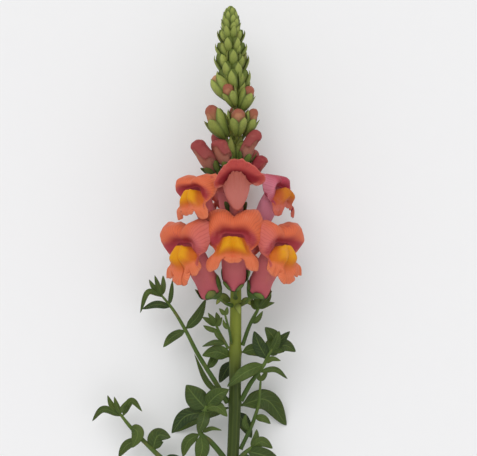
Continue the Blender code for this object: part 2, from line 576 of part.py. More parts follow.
def unite(obj, cutter):
    mod = obj.modifiers.new("grown_" + cutter.name, "BOOLEAN")
    mod.operation = "UNION"
    mod.solver = "EXACT"
    mod.object = cutter
    cutter.hide_render = True
    cutter.display_type = "WIRE"


def spike_tip():
    """The cone of small green scales; each scale stands a little proud of the next row."""
    line = along([at(*p) for p in TIP_AXIS], TIP_ROWS)
    rings = []
    for i, (p, (_, u, v)) in enumerate(zip(line, frames(line))):
        t = i / (TIP_ROWS - 1)
        r = float(hermite(t, [a for a, _ in TIP_RADII], [b for _, b in TIP_RADII])[0])
        ring = []
        for j in range(TIP_COLUMNS):
            turn = 2 * math.pi * (j + 0.5 * (i % 2)) / TIP_COLUMNS
            proud = 1 + 0.13 * math.cos(3 * turn + 2.4 * i) * min(1, 6 * t) * min(1, 6 * (1 - t))
            ring.append(p + r * proud * (u * math.cos(turn) + v * math.sin(turn)))
        rings.append(np.array(ring))
    skin("spike_tip", rings, line[0], line[-1] + np.array([0, 0.8, 0]), "green")


def main():
    stem = tube_body("main_stem", STEM, 12, 30, "stem", press=False)
    for i, (base, middle, tip, width) in enumerate(BRACTS):
        unite(stem, leaf_body("bract_%d" % (i + 1), base, middle, tip, width, 0, "green", 4, False))
    spike_tip()
    for name, y, turn, lean, swing, size, stalk, lips, on_floor in FLOWERS:
        place = flower_place(y, turn, lean, swing, size, stalk)
        rings, first, last = corolla_points(lips, place)
        if on_floor:
            # Grow or shrink the flower until its lowest petal rests on the floor.
            for _ in range(12):
                low = min(p[2] for ring in rings for p in ring)
                foot = stem_at(y)[0][2]
                size *= (foot - 14 - FLOOR_Z) / (foot - 14 - low)
                place = flower_place(y, turn, lean, swing, size, stalk)
                rings, first, last = corolla_points(lips, place)
        skin("petals_" + name, [np.array(r) for r in rings], first, last, "petals")
        calyx("calyx_" + name, y, place, size)
    for name, foot, points, radii in PINK_BUDS:
        bud(name, foot, points, radii)
    for name, foot, points, radii in GREEN_BUDS:
        green_bud(name, foot, points, radii)
    for name, base, middle, tip, width, roll in LEAVES:
        leaf_body("leaf_" + name, base, middle, tip, width, roll, sections=8)
    for name, points, leaves in SHOOTS:
        shoot = tube_body("shoot_" + name, points, 7, 2 * len(points), "leaf")
        for i, (base, middle, tip, width, roll) in enumerate(leaves):
            unite(shoot, leaf_body("%s_leaf_%d" % (name, i + 1), base, middle, tip, width, roll,
                                   "leaf", 5, False))


main()
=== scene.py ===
import math
import random

import bpy
import numpy as np
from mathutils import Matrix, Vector


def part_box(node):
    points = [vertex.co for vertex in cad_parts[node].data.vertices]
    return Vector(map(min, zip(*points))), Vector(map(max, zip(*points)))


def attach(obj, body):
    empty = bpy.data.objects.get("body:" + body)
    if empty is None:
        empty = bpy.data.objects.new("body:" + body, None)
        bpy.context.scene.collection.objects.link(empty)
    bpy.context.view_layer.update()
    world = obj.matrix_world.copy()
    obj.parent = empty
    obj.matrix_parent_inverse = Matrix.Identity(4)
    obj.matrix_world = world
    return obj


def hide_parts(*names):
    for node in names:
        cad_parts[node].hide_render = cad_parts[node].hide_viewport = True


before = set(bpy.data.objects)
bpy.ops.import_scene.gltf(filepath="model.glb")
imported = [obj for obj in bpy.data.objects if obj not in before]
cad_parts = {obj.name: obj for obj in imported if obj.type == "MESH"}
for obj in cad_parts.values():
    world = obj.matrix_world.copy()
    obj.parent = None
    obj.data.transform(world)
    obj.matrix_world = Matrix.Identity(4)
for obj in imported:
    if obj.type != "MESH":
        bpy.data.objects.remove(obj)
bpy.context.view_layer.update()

# The stem is laid out on a sheet: x to the right, y towards the cut end, heights in millimetres.
UNIT = 0.64            # millimetres for one layout unit
MID_X = 194.52         # layout x that lies at X = 0
MID_Y = 309.27         # layout y that lies at Y = 0
PICTURE_WIDTH = 477
PICTURE_HEIGHT = 456

# Main stem: layout x, layout y, height, radius.
STEM = [
    (229.5, 612, 3.93, 4.1), (229.0, 545, 12.6, 4.0), (233.0, 456, 20.5, 3.9),
    (234.8, 404, 24.4, 3.9), (235.2, 353, 28.2, 3.9), (235.8, 300, 31.6, 3.6),
    (236.0, 240, 34.0, 3.0), (235.6, 180, 35.4, 2.4), (235.4, 143, 36.0, 2.0),
    (235.8, 104, 36.4, 1.7),
]
STEM_NODES = [353, 404, 470, 533, 570]

# Flower tube, millimetres from the stem axis: outward, upward, half width, half depth, lean.
TUBE = [
    (11.6, -0.6, 1.6, 1.6, 60.0), (12.6, 1.0, 3.0, 3.0, 60.0), (16.6, 5.6, 7.0, 7.0, 56.0),
    (21.0, 14.5, 8.0, 7.4, 62.0), (25.4, 24.0, 8.6, 7.0, 62.0),
]
TUBE_PLACES = [0.0, 0.3, 1.0, 2.0, 3.0]
TUBE_FOOT = (11.2, -1.0)
POUCH_PLACE = 0.95
POUCH_DEPTH = 2.8
SLIM_FROM = 1.6        # place along the tube from where a slim flower has its full slimness
MOUTH = (35.8, 36.2)
MOUTH_SUNK = 1.2       # how much further in the mouth of the shut flower ends

# Lips by angle round the mouth, from the middle of the lower lip up to the notch of the upper.
LIP_ANGLES = [0, 27, 55, 80, 98, 115, 145, 168, 180]
EDGE_ANGLES = [0, 12, 22, 27, 34, 50, 62, 75, 88, 98, 104, 115, 128, 142, 158, 172, 180]
OPEN = {
    "neck": [
        (34.5, 24, 0), (34, 24.5, 4.0), (32.5, 26.5, 6.6), (30.5, 28.4, 8.4), (29, 30.2, 9.0),
        (28, 33.0, 9.2), (26.2, 35.3, 7), (25.3, 35.8, 2.5), (25.2, 35.8, 0),
    ],
    "throat": [
        (37.4, 36.4, 0), (37.6, 36.5, 2.6), (36.6, 36.1, 5.0), (35.0, 35.4, 6.6), (34.4, 35.4, 7.2),
        (34.0, 36.6, 6.6), (34.3, 37.9, 4.6), (34.5, 38.1, 1.8), (34.5, 38.1, 0),
    ],
    "crest": [
        (41.6, 36.2, 0), (43.4, 36.2, 3.0), (41.8, 33.8, 6.2), (38.4, 31.0, 8.2), (35.4, 30.8, 9.2),
        (34.6, 35.0, 10.0), (34.4, 39.2, 6.8), (34.4, 40.0, 2.4), (34.3, 39.8, 0),
    ],
    "dome": [
        (44.0, 31.8, 0), (46.8, 31.6, 3.7), (44.2, 29.4, 7.6), (39.0, 27.6, 9.4),
        (35.4, 30.0, 10.2), (35.8, 34.8, 12.4), (37.2, 41.2, 8.8), (37.0, 42.4, 3.2),
        (36.2, 42.2, 0),
    ],
    "crease": [
        (42.0, 26.6, 0), (44.0, 26.0, 4.2), (42.6, 24.2, 9.2), (39.4, 25.2, 11.8),
        (35.0, 28.6, 10.8), (35.2, 34.2, 15.0), (38.0, 44.6, 10.8), (37.8, 46.2, 3.8),
        (36.2, 45.4, 0),
    ],
    "lobe": [
        (45.2, 23.6, 0), (45.2, 23.4, 5.0), (43.0, 20.8, 10.4), (40.2, 21.8, 14.6),
        (34.4, 27.4, 11.6), (32.6, 33.4, 17.0), (34.8, 49.4, 13.0), (34.4, 50.6, 4.8),
        (33.2, 48.6, 0),
    ],
    "edge": [
        (44.4, 20.0, 0), (44.4, 20.8, 4.0), (43.8, 23.0, 6.6), (41.6, 24.8, 7.0), (41.2, 21.0, 7.8),
        (41.4, 15.8, 9.8), (40.8, 14.2, 13.4), (39.0, 15.8, 16.8), (36.4, 21.6, 16.4),
        (34.4, 26.8, 11.8), (33.4, 28.2, 12.8), (29.6, 32.4, 17.0), (26.6, 43.6, 19.2),
        (25.6, 52.2, 16.2), (25.8, 53.4, 8.4), (27.6, 51.6, 2.8), (28.2, 49.6, 0),
    ],
}
# The half-open flower: a tongue still shut behind the roof of the upper lip.
HALF_OPEN = {
    "neck": [
        (34.2, 8.6, 0), (33.9, 9.6, 2.6), (33.0, 13.4, 5.6), (31.2, 20.6, 9.2), (29.2, 26.4, 10.8),
        (27.6, 31.0, 10.6), (25.6, 34.4, 7.4), (24.8, 35.4, 2.6), (24.8, 35.5, 0),
    ],
    "throat": [
        (34.8, 38, 0), (34.8, 37.4, 2.6), (34.4, 35.6, 4.8), (34, 33.4, 6), (33.6, 32.4, 6.8),
        (33.6, 33, 6.8), (34, 36, 4.4), (34.2, 37, 1.6), (34.2, 37, 0),
    ],
    "crest": [
        (36.6, 39.4, 0), (35.8, 38.8, 3.2), (35.2, 36.2, 6.0), (34.6, 32.6, 8.0), (34.0, 30.8, 9.2),
        (34.6, 33.4, 9.8), (35.4, 38.0, 6.6), (35.8, 39.6, 2.4), (35.8, 39.8, 0),
    ],
    "dome": [
        (37.2, 40.2, 0), (36.4, 39.6, 3.4), (35.6, 36.6, 6.4), (34.8, 32.6, 8.6),
        (34.6, 29.8, 10.8), (36.0, 33.6, 12.0), (37.4, 40.4, 7.8), (37.2, 42.6, 2.8),
        (36.8, 42.8, 0),
    ],
    "crease": [
        (37.6, 40.8, 0), (36.9, 40.1, 3.5), (36, 36.9, 6.7), (35, 32.4, 9.2), (35.0, 29.2, 12.4),
        (37.0, 33.4, 14.0), (38.4, 42.4, 9.0), (38.0, 45.4, 3.2), (37.4, 45.8, 0),
    ],
    "lobe": [
        (38.0, 41.2, 0), (37.5, 40.5, 3.6), (36.4, 37.1, 6.9), (35.2, 32.3, 9.6),
        (35.2, 28.6, 13.8), (37.4, 32.6, 16.0), (38.4, 43.8, 10.2), (37.6, 48.4, 3.6),
        (36.8, 48.8, 0),
    ],
    "edge": [
        (38.2, 41.4, 0), (38.1, 41.2, 1.7), (37.9, 40.8, 3.0), (37.7, 40.6, 3.6), (37.2, 39.8, 4.5),
        (36.6, 38.2, 6.4), (36.2, 36.2, 7.7), (35.6, 33.4, 9.4), (35.2, 30.2, 11.6),
        (35.2, 27.6, 14.8), (36.0, 27.0, 16.8), (37.2, 31.2, 17.4), (37.4, 38.6, 14.6),
        (37.2, 45.0, 10.4), (36.4, 49.2, 6.2), (35.6, 51.4, 2.4), (35.4, 51.6, 0),
    ],
}

# Flowers: name, layout y of the foot, turn round the stem (0 faces up, positive to the right),
# lean outwards, swing sideways, size, extra stalk, lips, ruffle, colouring, then its own shape: how
# far the middle lobe hangs down, width of the lower lip's left and right half, height of the upper
# lip, sideways shift of the lower lip, width of the upper lip's left and right half, tube width.
PLAIN = (0, 1.0, 1.0, 1.0, 0, 1.0, 1.0, 1.0)
FLOWERS = [
    ("lower_left", 294.5, -46, 5, 8, 0.98, 4, OPEN, 1.0, "coral",
     (8, 1.22, 0.74, 0.9, 3.4, 1.40, 1.0, 1.0)),
    ("lower_front", 287, -3, 0, 0, 0.96, 0, OPEN, 0.8, "coral", PLAIN),
    ("lower_right", 294.5, 47, 3, -5, 0.96, 1.5, OPEN, 1.0, "coral",
     (8, 0.74, 1.22, 0.86, -3.4, 1.0, 1.40, 1.0)),
    ("lower_back", 285, 168, 0, 0, 0.8, 0, OPEN, 0.8, "coral", PLAIN),
    ("middle_left", 235, -43, 3, 4, 0.84, 4.4, OPEN, 0.8, "coral",
     (2, 0.95, 0.9, 0.6, 1.2, 1.15, 1.0, 1.0)),
    ("middle_right", 234, 62, 0, -6, 0.8, 0, OPEN, 1.1, "crimson",
     (0, 0.9, 1.1, 0.62, -1.5, 0.85, 1.1, 1.0)),
    ("middle_back", 232, -166, 0, 0, 0.8, 0, OPEN, 0.8, "coral",
     (0, 1.0, 1.0, 0.8, 0, 1.0, 1.0, 1.0)),
    ("half_open", 215, 1, 9, 0, 0.77, 3.5, HALF_OPEN, 1.7, "dusky",
     (0, 0.9, 0.94, 1.0, 0, 1.06, 1.32, 0.68)),
]

# Pink buds: stalk foot, points along the bud, radii.
PINK_BUDS = [
    ("left", (232, 186, 36),
     [(217, 175, 41), (212, 168, 43), (206, 159, 45), (200, 149, 46.4), (197, 141, 47)],
     [3.0, 5.2, 5.8, 4.9, 4.3]),
    ("front", (234.5, 176, 37.5),
     [(229, 169, 41.5), (226, 163, 44), (222, 155, 45.6), (219.6, 147, 46.5), (218.6, 140.5, 46.5)],
     [2.8, 4.8, 5.6, 5.0, 4.4]),
    ("right_high", (238, 171, 36),
     [(243, 164, 40), (246, 157, 42), (249.6, 147, 43.6), (254.4, 138, 45), (260.4, 133.6, 45.4)],
     [2.8, 4.6, 4.6, 3.9, 3.3]),
    ("right_low", (239.5, 188, 34.5),
     [(247, 181, 37.5), (253, 175, 38.8), (258, 167, 40), (261, 160, 40.5), (262, 156, 40.5)],
     [2.6, 3.8, 4.3, 4.2, 3.2]),
    ("back_left", (232.5, 168, 33.5),
     [(226, 159, 27), (223, 151, 24), (220, 142, 21.5), (218.5, 134, 20.5), (218, 130, 20.5)],
     [2.6, 4.4, 5.0, 4.8, 3.6]),
    ("back_right", (238, 186, 33),
     [(244.5, 177, 26.5), (248, 169, 23.5), (250.5, 160, 21), (251.5, 152, 20), (251.5, 148, 20)],
     [2.6, 4.4, 5.1, 4.9, 3.6]),
]

# Green buds: stalk foot, points along the bud, radii, and how much pink petal shows at the tip.
GREEN_BUDS = [
    ("left_low", (233, 146, 37),
     [(226, 138, 41), (222, 132, 43), (217, 124, 44.4), (213, 114, 45), (209.4, 106.6, 45)],
     [2.2, 4.6, 6.0, 5.6, 4.0], 1.0),
    ("front_low", (236, 143, 38.5),
     [(237, 136, 44.4), (237.6, 131, 46.4), (238, 124, 48), (238, 116, 48.4), (237.6, 110, 48)],
     [2.0, 3.9, 5.2, 5.2, 3.8], 0.9),
    ("right_low", (239, 141, 37),
     [(244, 136, 40), (247.6, 130, 41), (250.6, 122, 41.8), (253, 115, 42.4), (256, 110, 42.6)],
     [1.8, 3.2, 4.2, 4.1, 3.0], 0.9),
    ("back_low", (236, 140, 34),
     [(236, 133, 26), (236, 127, 23), (236, 118, 21), (236, 110, 20.2), (236, 104, 20.2)],
     [1.8, 4.0, 5.4, 5.0, 3.4], 0.8),
    ("left_high", (232, 104, 37.5),
     [(229.6, 100, 40), (226, 94, 42), (221.6, 88, 42.8), (217.4, 81.6, 42.8), (214.4, 76.8, 42.2)],
     [2.2, 4.4, 5.4, 5.0, 3.2], 0.0),
    ("right_high", (238, 116, 37),
     [(240, 111, 39), (243, 105, 40.4), (246.4, 98, 41.2), (249.2, 92, 41.4), (251, 87, 41.4)],
     [2.0, 3.8, 4.5, 4.2, 3.2], 0.7),
    ("front_high", (235.6, 113, 38.2),
     [(234.6, 107, 42.6), (232, 101, 45.2), (229.4, 95, 46.6), (227.4, 89.4, 47.4),
      (226.4, 85.4, 47.2)],
     [1.6, 3.4, 4.4, 4.2, 3.2], 0.8),
    ("back_high", (236, 118, 35),
     [(236.4, 108, 29.6), (236.6, 101, 27.6), (237, 92, 26.6), (237, 83, 26.6), (237, 76, 27)],
     [1.6, 3.6, 4.8, 4.6, 2.8], 0.0),
]

# Spike tip: its axis, the buds packed round it (layout y of foot and point, reach from the axis
# to the bud's point, radius, turns round the axis), then place and radius of the rounded end.
TIP_AXIS = [
    (235.6, 104, 36.5), (234, 85, 37.4), (231.8, 62, 38), (231, 35, 38.4), (230.5, 6.5, 38.8),
]
PACKED_BUDS = [
    (103, 76, 6.4, 4.3, (100, 180, 262)),
    (94, 70, 7.4, 4.1, (82, 5, 200, 290)),
    (84, 62, 5.6, 3.9, (30, 330, 150)),
    (76, 54, 7.6, 4.0, (276, 92, 180)),
    (68, 50, 6.2, 3.6, (84, 10, 250)),
    (61, 43, 7.2, 3.5, (272, 78, 185)),
    (54, 38, 5.4, 3.3, (350, 40, 140, 220)),
    (47, 30, 6.6, 2.7, (268, 88, 182)),
    (42, 26, 4.4, 2.7, (20, 325, 130, 220)),
]
TIP_RADII = [
    (48, 3.2), (40, 4.4), (32, 5.4), (24, 5.7), (17, 5.0), (12, 3.9), (8.5, 2.5), (6.2, 0.9),
]

# Leaves: node, base, middle, tip, full width in millimetres, roll in degrees.
LEAVES = [
    ("upper_left", (229.4, 357.5, 27.4), (216, 352, 32.5), (202, 356, 31), 8.4, 12),
    ("upper_right", (241.6, 353, 28), (256, 350, 29), (271, 361, 26.5), 7.4, -10),
    ("upper_back", (233, 361, 24), (226, 372, 16), (219, 386, 10), 8.0, 20),
    ("middle_right", (241, 407, 24), (264, 402, 14.5), (288, 431, 0.05), 12.0, 0),
    ("middle_left_narrow", (229.6, 401, 22), (210, 388, 17), (193.5, 356, 15), 3.6, 10),
    ("middle_left_floor", (228.4, 410, 21), (204, 416, 11), (173, 438, 0.05), 8.5, 0),
    ("middle_back", (236, 413, 19.6), (243, 424, 12), (252, 443, 6), 8.0, -15),
    ("lower_left", (227.2, 476, 20), (206, 479, 22), (179, 503, 19), 8.6, 8),
    ("lower_right", (238, 482, 18), (258, 486, 17), (278, 514, 9), 9.4, -8),
    ("base_right", (235.6, 528, 13.8), (250, 536, 14), (262, 563, 8), 7.6, -5),
    ("base_left", (223, 566, 10.4), (209, 574, 10.5), (196, 596, 6), 6.8, 5),
]

# Side shoots: stem points with radii, then their leaves as base, middle, tip, width, roll.
SHOOTS = [
    ("left_long",
     [(227.2, 404, 24.6, 1.7), (217, 386, 28, 1.6), (197, 354, 27, 1.4), (185, 331, 25, 1.2),
      (172, 310, 23, 1.0), (160.6, 296, 21, 0.7)],
     [((161.5, 298, 21), (149, 292, 25), (139, 314, 22), 3.4, 0),
      ((170, 308, 22.6), (156, 305, 25), (141, 310, 23), 4.4, 0),
      ((168.5, 306, 22), (171, 292, 26), (172, 280, 27), 2.8, 0),
      ((185, 330, 25), (197, 318, 28.6), (206, 299, 30), 5.8, 10),
      ((185.5, 331, 24.5), (172, 338, 22.4), (162, 349, 18), 5.2, 0),
      ((162, 297, 21), (153, 288, 23), (148, 280, 23), 3.4, 0),
      ((161, 297, 21), (157, 285, 25.5), (154, 275.5, 26), 3.2, 0),
      ((161, 296.6, 21), (162.5, 286, 20), (162, 276, 18.5), 3.2, 0),
      ((207, 370, 27.4), (214, 360, 24), (216, 347, 20), 5.0, 0)]),
    ("left_small",
     [(228.2, 349, 31.4, 1.0), (225, 343, 32, 1.0), (218.5, 331, 33, 0.9), (216, 325.3, 33, 0.7)],
     [((225.6, 344.4, 32), (215, 342.6, 35.5), (202, 346.5, 36.4), 3.4, 0),
      ((216.4, 326.4, 33), (209, 321, 35), (202, 317, 35), 3.4, 0),
      ((216.4, 326, 33), (211, 317, 38), (208, 312.5, 39), 3.2, 0),
      ((216.4, 326, 33), (217.6, 319, 31.4), (216, 312.5, 30.5), 3.4, 0),
      ((216.6, 326.6, 33), (220, 321, 36.6), (222, 317, 37), 3.0, 0),
      ((219, 332, 33), (209, 329, 33), (203, 326, 30), 3.0, 0),
      ((224, 341.5, 32), (218, 336, 35.4), (213, 327, 38), 2.6, 0)]),
    ("left_twig",
     [(231.4, 343.5, 33.2, 0.8), (229.6, 332, 37.4, 0.8), (226, 318, 39, 0.7), (225, 314, 39, 0.6)],
     [((225, 315, 39), (222, 311, 41), (219, 308, 41.4), 2.6, 0),
      ((225, 315, 39), (226.8, 310.4, 41.6), (227.4, 306, 42), 2.6, 0),
      ((229, 329, 37.8), (225, 325, 40), (223, 319, 40.6), 2.4, 0)]),
    ("right_upper",
     [(242.6, 346, 29, 1.3), (250, 325, 30.4, 1.2), (257.4, 311, 31, 1.0), (259, 308, 31, 0.8)],
     [((258.4, 309, 31), (257, 301, 30.4), (255.6, 293, 28.6), 3.8, 0),
      ((258.8, 309, 31), (262, 299, 29.4), (262, 290, 26.6), 3.8, 0),
      ((259, 309, 31), (267, 299, 30.4), (271, 289, 29.6), 4.6, 0),
      ((259, 309.4, 31), (267, 305, 30), (275, 303, 28.4), 2.8, 0),
      ((258, 310, 31), (254, 306, 29), (252, 299, 27), 3.2, 0),
      ((251, 323.4, 30.4), (257, 320, 33), (263, 311, 34.4), 3.2, 0)]),
    ("right_middle",
     [(241.2, 402, 25.4, 1.6), (251.4, 383, 28, 1.5), (258, 374, 29, 1.3), (264.8, 364, 30, 1.2),
      (268.7, 355.5, 31, 1.1), (272.6, 349, 32, 0.9)],
     [((264, 365, 30), (246, 372, 34.6), (227, 387, 33.6), 7.8, 0),
      ((265, 364, 30), (272, 359, 33), (281, 361, 33.4), 3.2, 0),
      ((259, 373, 29), (275, 370, 31.4), (288, 380, 28), 3.4, 0),
      ((270, 354, 31.2), (274, 339, 35), (265, 327, 36), 9.6, 0),
      ((271.7, 351, 31.8), (281, 340, 36), (290, 331, 38), 5.4, 0),
      ((272.4, 349.9, 32.3), (277, 339, 40), (279, 330, 43), 5.4, 0),
      ((270.9, 352.7, 31.4), (285, 345.4, 34.6), (296, 352, 33), 7.6, 0),
      ((267, 359, 30.6), (259, 345, 34), (254, 331, 35.6), 8.0, 0),
      ((269, 355.6, 31), (275, 352, 27), (283, 343, 24), 4.6, 0)]),
    ("right_lower",
     [(240.6, 452, 20.2, 1.4), (254.5, 421, 20.4, 1.2), (259, 405, 22, 1.0), (260, 394, 24, 0.9),
      (261, 380, 24, 0.6)],
     [((255, 420, 20.4), (263, 420, 23.4), (271, 426, 22), 4.4, 0),
      ((260.6, 383, 24), (264.5, 377, 25), (268, 371, 25), 3.0, 0),
      ((260.6, 383, 24), (258, 376, 25), (255.4, 369, 24), 3.0, 0),
      ((249, 433.5, 20.3), (245, 425, 24), (246, 415, 26.4), 3.6, 0)]),
    ("right_leafy",
     [(238.6, 462, 22.4, 1.7), (245, 455, 24.4, 1.5), (252, 449, 25.6, 0.9)],
     [((251, 450, 25.4), (262, 443, 28), (273, 450, 27), 6.2, 0),
      ((247, 453, 25), (262, 456, 28), (281, 464, 25), 9.0, 0),
      ((251, 449.6, 25.4), (256, 440, 25), (257, 431, 23.4), 4.0, 0),
      ((245, 455, 24.4), (250, 466, 23), (261, 478, 20), 6.0, 0)]),
    ("left_cluster",
     [(227, 464, 21.8, 1.9), (209.3, 442.6, 25, 1.7), (199.8, 434, 28, 1.5), (203, 418, 31, 1.4),
      (206, 406, 32, 1.1)],
     [((205.6, 409, 32), (195, 397, 34), (186, 385, 35), 12.5, 0),
      ((204.6, 413, 31.4), (187, 416, 31), (171, 435, 26), 8.4, 0),
      ((205, 411, 32), (203, 421, 36), (198, 433.5, 34.6), 7.2, 0),
      ((206, 409, 32), (216, 406.5, 34), (227.5, 417, 33), 6.6, 0),
      ((206.6, 406, 32), (217, 395, 36.6), (229, 389, 38), 9.6, 0),
      ((201, 434, 28), (212, 429, 31.4), (222, 431, 32), 2.6, 0),
      ((200.6, 436, 27.6), (202, 450, 27), (197, 465, 23), 8.6, 0),
      ((199.6, 435, 27.6), (188, 443, 24), (182, 460, 19), 6.2, 0)]),
    ("bottom_left",
     [(224.4, 538, 13.6, 1.9), (190, 492, 13, 1.9), (152, 454.4, 14, 1.6), (138.7, 441, 15, 1.4),
      (127, 428, 16, 1.2), (117, 415, 17, 0.8)],
     [((117.9, 416.3, 16.8), (110, 407, 20.6), (106, 397, 22), 3.6, 0),
      ((119.2, 417.4, 17.1), (115, 406, 22.6), (113, 398, 24), 3.2, 0),
      ((119.9, 419.2, 16.6), (101, 411.5, 20.6), (90, 424, 18), 4.2, 0),
      ((120.6, 419.5, 16.9), (131, 403, 21), (141, 414, 19.4), 4.2, 0),
      ((118.5, 416.2, 17.2), (123, 407, 24), (127, 401, 26), 3.0, 0),
      ((128.6, 430, 15.8), (136, 434, 19.6), (131, 451, 18), 7.4, 0),
      ((151, 454, 14), (158, 438, 18), (170, 440, 20), 9.6, 0),
      ((140, 442.6, 15), (126, 448, 14), (116, 462, 10), 5.6, 0),
      ((161.3, 462.6, 14.3), (176, 466, 17), (188, 480, 17), 8.0, 0),
      ((170, 472, 13.6), (158, 484, 12), (154, 504, 7), 7.6, 0)]),
]

# Bracts on the spike: base, middle, tip, width.
BRACTS = [
    ((231, 303, 29.5), (222, 297, 29.8), (216, 305, 29), 4.4),
    ((240, 305, 29.4), (247, 301, 28.6), (252, 306, 26.5), 4.0),
    ((236, 304, 34.2), (238, 307, 38), (240, 314, 39.4), 4.0),
    ((233, 244, 34.6), (226, 242, 36.6), (222, 249, 37.4), 3.4),
    ((238.4, 246, 33), (244.6, 245, 32.6), (249, 251, 31), 3.2),
    ((234.4, 160, 38), (228.6, 154, 40), (224.6, 158, 41), 3.6),
    ((237.6, 152, 38), (241.6, 144, 41), (245.6, 143, 43), 3.4),
    ((236, 168, 38.4), (239, 160, 42), (243, 158, 44.4), 3.6),
    ((234, 140, 38.4), (230, 131, 42), (229, 125, 44.4), 4.0),
    ((238.4, 132, 38), (243.6, 124, 41), (246.4, 117, 43), 4.2),
    ((233, 127, 38), (226, 121, 41), (224.6, 113, 43), 4.2),
    ((236.4, 150, 33.4), (237, 142, 30), (240, 136, 27.4), 3.8),
    ((233.6, 166, 37.8), (231.4, 151, 39.4), (230.6, 136, 41), 5.2),
    ((238.4, 163, 37.8), (240, 149, 39.6), (241, 134, 41), 5.2),
]

# Rows of a flower's lips from the tube outwards, and how much of its own shape each one takes on.
LIP_ROWS = ("neck", "throat", "crest", "dome", "crease", "lobe", "edge")
OWN_SHARE = {"crest": 0.0, "dome": 0.2, "crease": 0.5, "lobe": 0.85, "edge": 1.0}
# Places of the lip rows along the back and the front of the lobes.
BACK_KNOTS = [0, 8, 14, 20, 25, 30]
FRONT_KNOTS = [0, 5, 10, 14.5, 18, 25]
PETAL_COLUMNS = 144
TUBE_ROWS = 15
BACK_ROWS = 17
FRONT_ROWS = 26
SEPALS = 5
BUD_COLUMNS = 48
BUD_ROWS = 36
ROUND_FROM = 0.86      # place along a bud from where its end rounds off
LEAF_ROWS = 29
LEAF_COLUMNS = 9
STEM_COLUMNS = 32
STEM_ROWS = 260
SCALE_ROWS = 8
SCALES_FOOT = 44       # layout y where the scales of the rounded end begin
SCALES_END = 6         # layout y of the very tip
# Radius along a packed bud, as a share of its own.
PLUMP = (0.55, 0.92, 1.08, 0.98, 0.66)
RELIEF = 0.0004        # metres, depth of the fine relief on petals and leaves
FLOOR_DEPTH = 0.0004   # metres, how far the table lies under the lowest leaf
TOUCHES_FLOOR = 0.001  # metres, a flower whose solid reaches lower than this rests on the table
UP = np.array([0, 0, 1.0])
RIGHT = np.array([1.0, 0, 0])


def at(x, y, z):
    """Layout x, y and height to millimetres."""
    return np.array([(x - MID_X) * UNIT, (MID_Y - y) * UNIT, z], float)


def unit(v):
    """The same direction, one long."""
    return v / max(np.linalg.norm(v), 1e-9)


def weights(x, knots):
    """Weights of a smooth curve through the knots, one row for each place in x."""
    knots = np.asarray(knots, float)
    slopes = np.gradient(np.eye(len(knots)), knots, axis=0)
    rows = []
    for place in np.atleast_1d(x):
        i = int(np.clip(np.searchsorted(knots, place) - 1, 0, len(knots) - 2))
        h = knots[i + 1] - knots[i]
        t = (place - knots[i]) / h
        row = t * (1 - t) ** 2 * h * slopes[i] + t * t * (t - 1) * h * slopes[i + 1]
        row[i] += (1 + 2 * t) * (1 - t) ** 2
        row[i + 1] += t * t * (3 - 2 * t)
        rows.append(row)
    return np.array(rows)


def through(x, knots, values):
    """Values of a smooth curve through the knots at the places x."""
    return weights(x, knots) @ np.asarray(values, float)


def along(points, n):
    """Points evenly spaced on a smooth curve; extra columns such as a radius come along."""
    pts = np.asarray(points, float)
    s = np.concatenate([[0], np.cumsum(np.linalg.norm(np.diff(pts[:, :3], axis=0), axis=1))])
    return through(np.linspace(0, s[-1], n), s, pts)


def ease(x, low, high):
    """0 below low, 1 above high, smooth between."""
    t = np.clip((np.asarray(x, float) - low) / (high - low), 0, 1)
    return t * t * (3 - 2 * t)


STEM_MM = np.array([list(at(x, y, z)) + [r] for x, y, z, r in STEM])
STEM_LINE = along(STEM_MM, 240)


def stem_at(y_layout):
    """Axis point, direction and radius of the main stem at a layout y."""
    y = (MID_Y - y_layout) * UNIT
    i = int(np.clip(np.argmin(abs(STEM_LINE[:, 1] - y)), 1, len(STEM_LINE) - 2))
    axis = unit(STEM_LINE[i + 1, :3] - STEM_LINE[i - 1, :3])
    return STEM_LINE[i, :3] + axis * (y - STEM_LINE[i, 1]) / axis[1], axis, STEM_LINE[i, 3]


def away_from_stem(p):
    """Direction from the stem's axis out to a point."""
    near = STEM_LINE[np.argmin(np.linalg.norm(STEM_LINE[:, :3] - p, axis=1)), :3]
    return unit(p - near)


def travelling_sides(line, first_side):
    """Tangent and two side directions along a line, without twist."""
    out = []
    side = first_side
    for i in range(len(line)):
        t = unit(line[min(i + 1, len(line) - 1)] - line[max(i - 1, 0)])
        side = unit(side - t * side.dot(t))
        out.append((t, side, np.cross(t, side)))
    return out


